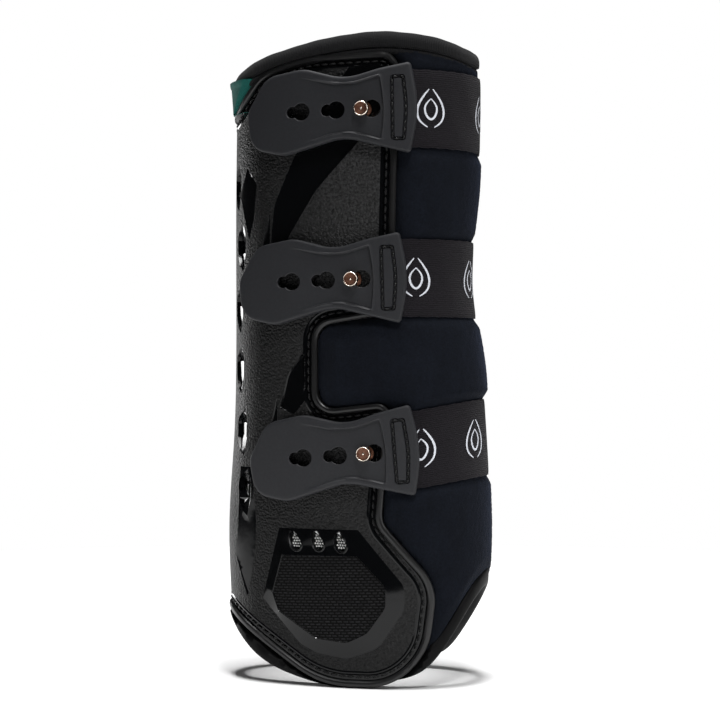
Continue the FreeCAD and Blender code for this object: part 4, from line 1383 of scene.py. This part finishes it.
def make_label():
    """A plain teal ribbon folded double, sewn in under the shell's rim, its fold standing off the boot."""
    columns, rows = 34, 18
    points, places = [], []
    for i in range(rows):
        t = i / (rows - 1)
        z = LABEL_LOW + (LABEL_HIGH - LABEL_LOW) * t
        x = np.linspace(-36, -57, 240)
        rim = x[np.argmax(past_shell(x, np.full(240, z)) > 0.1)]
        sewn, free = float(round_to(rim, z)), -girth(z)[1] + 8.0 + 3.0 * (1 - t)
        for j in range(columns):
            u = j / (columns - 1)
            hem = 0.5 * ease((t - 0.84) / 0.05)
            lift = -1.4 + (2.6 + 0.9 * t) * ease(u / 0.22) + 0.7 * t * u * u + hem * ease(u / 0.22)
            points.append((sewn + (free - sewn) * u, z, lift))
            places.append((u * 20, t * 20))
    p = np.array(points)
    fold = 0.45 * np.sin(math.pi * np.clip(np.array(places)[:, 0] / 20, 0, 1))**0.4 + 0.25
    top, bottom = on_form(p[:, 0], p[:, 1], p[:, 2] + fold), on_form(p[:, 0], p[:, 1], p[:, 2])
    quads = grid_faces(rows, columns)
    triangles = np.array([(f[0], f[1], f[2]) for f in quads] + [(f[0], f[2], f[3]) for f in quads])
    pts, solid = closed_solid(top, bottom, triangles)
    piece = mesh_object("teal_label", pts, solid, [RIBBON], place=np.vstack([places, places]), sharp=50)
    drop_loose_points(piece)
    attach(piece, "boot")
    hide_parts("label_ribbon")


def make_mesh_knots():
    """The spacer mesh's pale knots where they show in the vents, both sides."""
    openings = [to_plan(shield_vent(x, z, 4.0, 2.2)) for x, z in SHIELD_VENTS]
    openings += [tendon_vent(vent, VENT_SLOT, 0.2) for vent in TENDON_VENTS]
    verts, faces = [], []
    for i, opening in enumerate(openings):
        depth = KNOT_DEPTHS[i >= len(SHIELD_VENTS)]
        low, high = opening.min(0), opening.max(0)
        spots = np.array([(a + 0.6 * (k % 2), b) for k, b in enumerate(np.arange(low[1], high[1], KNOT_PITCH))
                          for a in np.arange(low[0] - 0.6, high[0] + 0.6, KNOT_PITCH)])
        for a, b in spots[inside(spots, opening)]:
            for side in (1, -1):
                middle = on_form(a, b, depth)
                out = on_form(a, b, depth + 1.0) - middle
                along = np.cross(out, [0, 0, 1.0])
                base = len(verts)
                for r, h in KNOT_RINGS:
                    for t in np.linspace(0, 2 * math.pi, 8, endpoint=False):
                        spoke = along * math.cos(t) + np.array([0, 0, 1.0]) * math.sin(t)
                        point = middle + out * h + spoke * r
                        verts.append(point * np.array([1, side, 1]))
                quads = capped_tube(4, 8)
                faces += [tuple(base + q for q in (f if side > 0 else f[::-1])) for f in quads]
    piece = mesh_object("mesh_knots", verts, faces, [KNOTS])
    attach(piece, "boot")


def dress_hidden_nodes():
    """CAD pieces that keep their own shape get their material."""
    looks = {"shield_mesh": SPACER, "tendon_mesh": SPACER, "tendon_pad": FOAM, "stud_backplate": NICKEL}
    for node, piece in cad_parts.items():
        for start, look in looks.items():
            if node.startswith(start):
                for slot in piece.material_slots:
                    slot.material = look


# ------------------------------------------------------------------ stage
FLOOR_RADIUS, FLOOR_RINGS, FLOOR_SPOKES = 700.0, 8, 64
CAMERA_AZIMUTH, CAMERA_REACH, CAMERA_LENS = math.radians(14), 1000, 105
AIM_ASIDE, AIM_HEIGHT = 1.43, 150.0
WORLD_GLOW = 0.02                            # the world's light; the camera sees it white


def make_stage():
    """A white floor, the photo's view of the boot, a white surround and the lamps."""
    white = Look("white_floor", (0.9, 0.9, 0.9), 0.9)
    white.vary("Roughness", white.noise(white.at(), 0.01, 2.0), 0.85, 0.95)
    azimuth = CAMERA_AZIMUTH
    away = np.array([-math.sin(azimuth), math.cos(azimuth)])
    side = np.array([math.cos(azimuth), math.sin(azimuth)])
    rings = [(FLOOR_RADIUS * k / FLOOR_RINGS, 2 * math.pi * j / FLOOR_SPOKES)
             for k in range(1, FLOOR_RINGS + 1) for j in range(FLOOR_SPOKES)]
    verts = [(r * math.cos(a), r * math.sin(a), 0.0) for r, a in rings] + [(0.0, 0.0, 0.0)]
    centre_fan = [(len(rings), (j + 1) % FLOOR_SPOKES, j) for j in range(FLOOR_SPOKES)]
    faces = grid_faces(FLOOR_RINGS, FLOOR_SPOKES, False, True) + centre_fan
    floor = mesh_object("floor", verts, faces, [white.material])

    scene = bpy.context.scene
    camera = bpy.data.cameras.new("camera")
    camera.lens, camera.sensor_width = CAMERA_LENS, 36
    eye = bpy.data.objects.new("camera", camera)
    scene.collection.objects.link(eye)
    aim = np.array([*(side * AIM_ASIDE), AIM_HEIGHT])
    eye.location = Vector((aim + np.array([*(-away * CAMERA_REACH), 0])) * MM)
    eye.rotation_euler = (math.radians(90), 0, azimuth)
    scene.camera = eye

    world = bpy.data.worlds.new("studio")
    world.use_nodes = True
    tree = world.node_tree
    seen, shine = tree.nodes["Background"], tree.nodes.new("ShaderNodeBackground")
    seen.inputs["Strength"].default_value, shine.inputs["Strength"].default_value = 1.0, WORLD_GLOW
    for background in (seen, shine):
        background.inputs["Color"].default_value = (1, 1, 1, 1)
    mix, path = tree.nodes.new("ShaderNodeMixShader"), tree.nodes.new("ShaderNodeLightPath")
    tree.links.new(path.outputs["Is Camera Ray"], mix.inputs[0])
    tree.links.new(shine.outputs[0], mix.inputs[1])
    tree.links.new(seen.outputs[0], mix.inputs[2])
    tree.links.new(mix.outputs[0], tree.nodes["World Output"].inputs["Surface"])
    scene.world = world
    scene.view_settings.view_transform = "Standard"

    def softbox(name, turn, height, reach, size, power, tall=None):
        """An area light at a bearing from the camera's side, aimed at the boot's middle."""
        lamp = bpy.data.lights.new(name, "AREA")
        lamp.shape = "RECTANGLE"
        lamp.size, lamp.size_y = size, tall or size
        lamp.energy = power
        lamp_object = bpy.data.objects.new(name, lamp)
        bearing = azimuth + math.radians(turn)
        place = Vector((math.sin(bearing) * reach, -math.cos(bearing) * reach, height))
        lamp_object.location = place
        lamp_object.rotation_euler = (Vector((0, 0, 0.15)) - place).to_track_quat("-Z", "Y").to_euler()
        scene.collection.objects.link(lamp_object)

    softbox("overhead", 0, 2.4, 0.05, 0.6, 80)
    softbox("low_left_rear", -137, 0.16, 1.2, 0.5, 3.6, 0.25)
    softbox("strip_right", 58, 0.5, 1.4, 0.18, 4, 1.2)
    softbox("front_high", 14, 1.45, 0.9, 0.35, 13)
    softbox("front_right", 40, 0.9, 1.2, 0.3, 1.2)


make_stage()
make_shell()
make_shell_stitches()
for strap in STRAPS:
    make_tab(*strap[:4])
    make_stud(*strap[:3])
    make_elastic(strap)
    make_anchor(strap)
make_neoprene()
make_collar()
make_bottom_binding()
make_lining()
make_label()
make_mesh_knots()
dress_hidden_nodes()
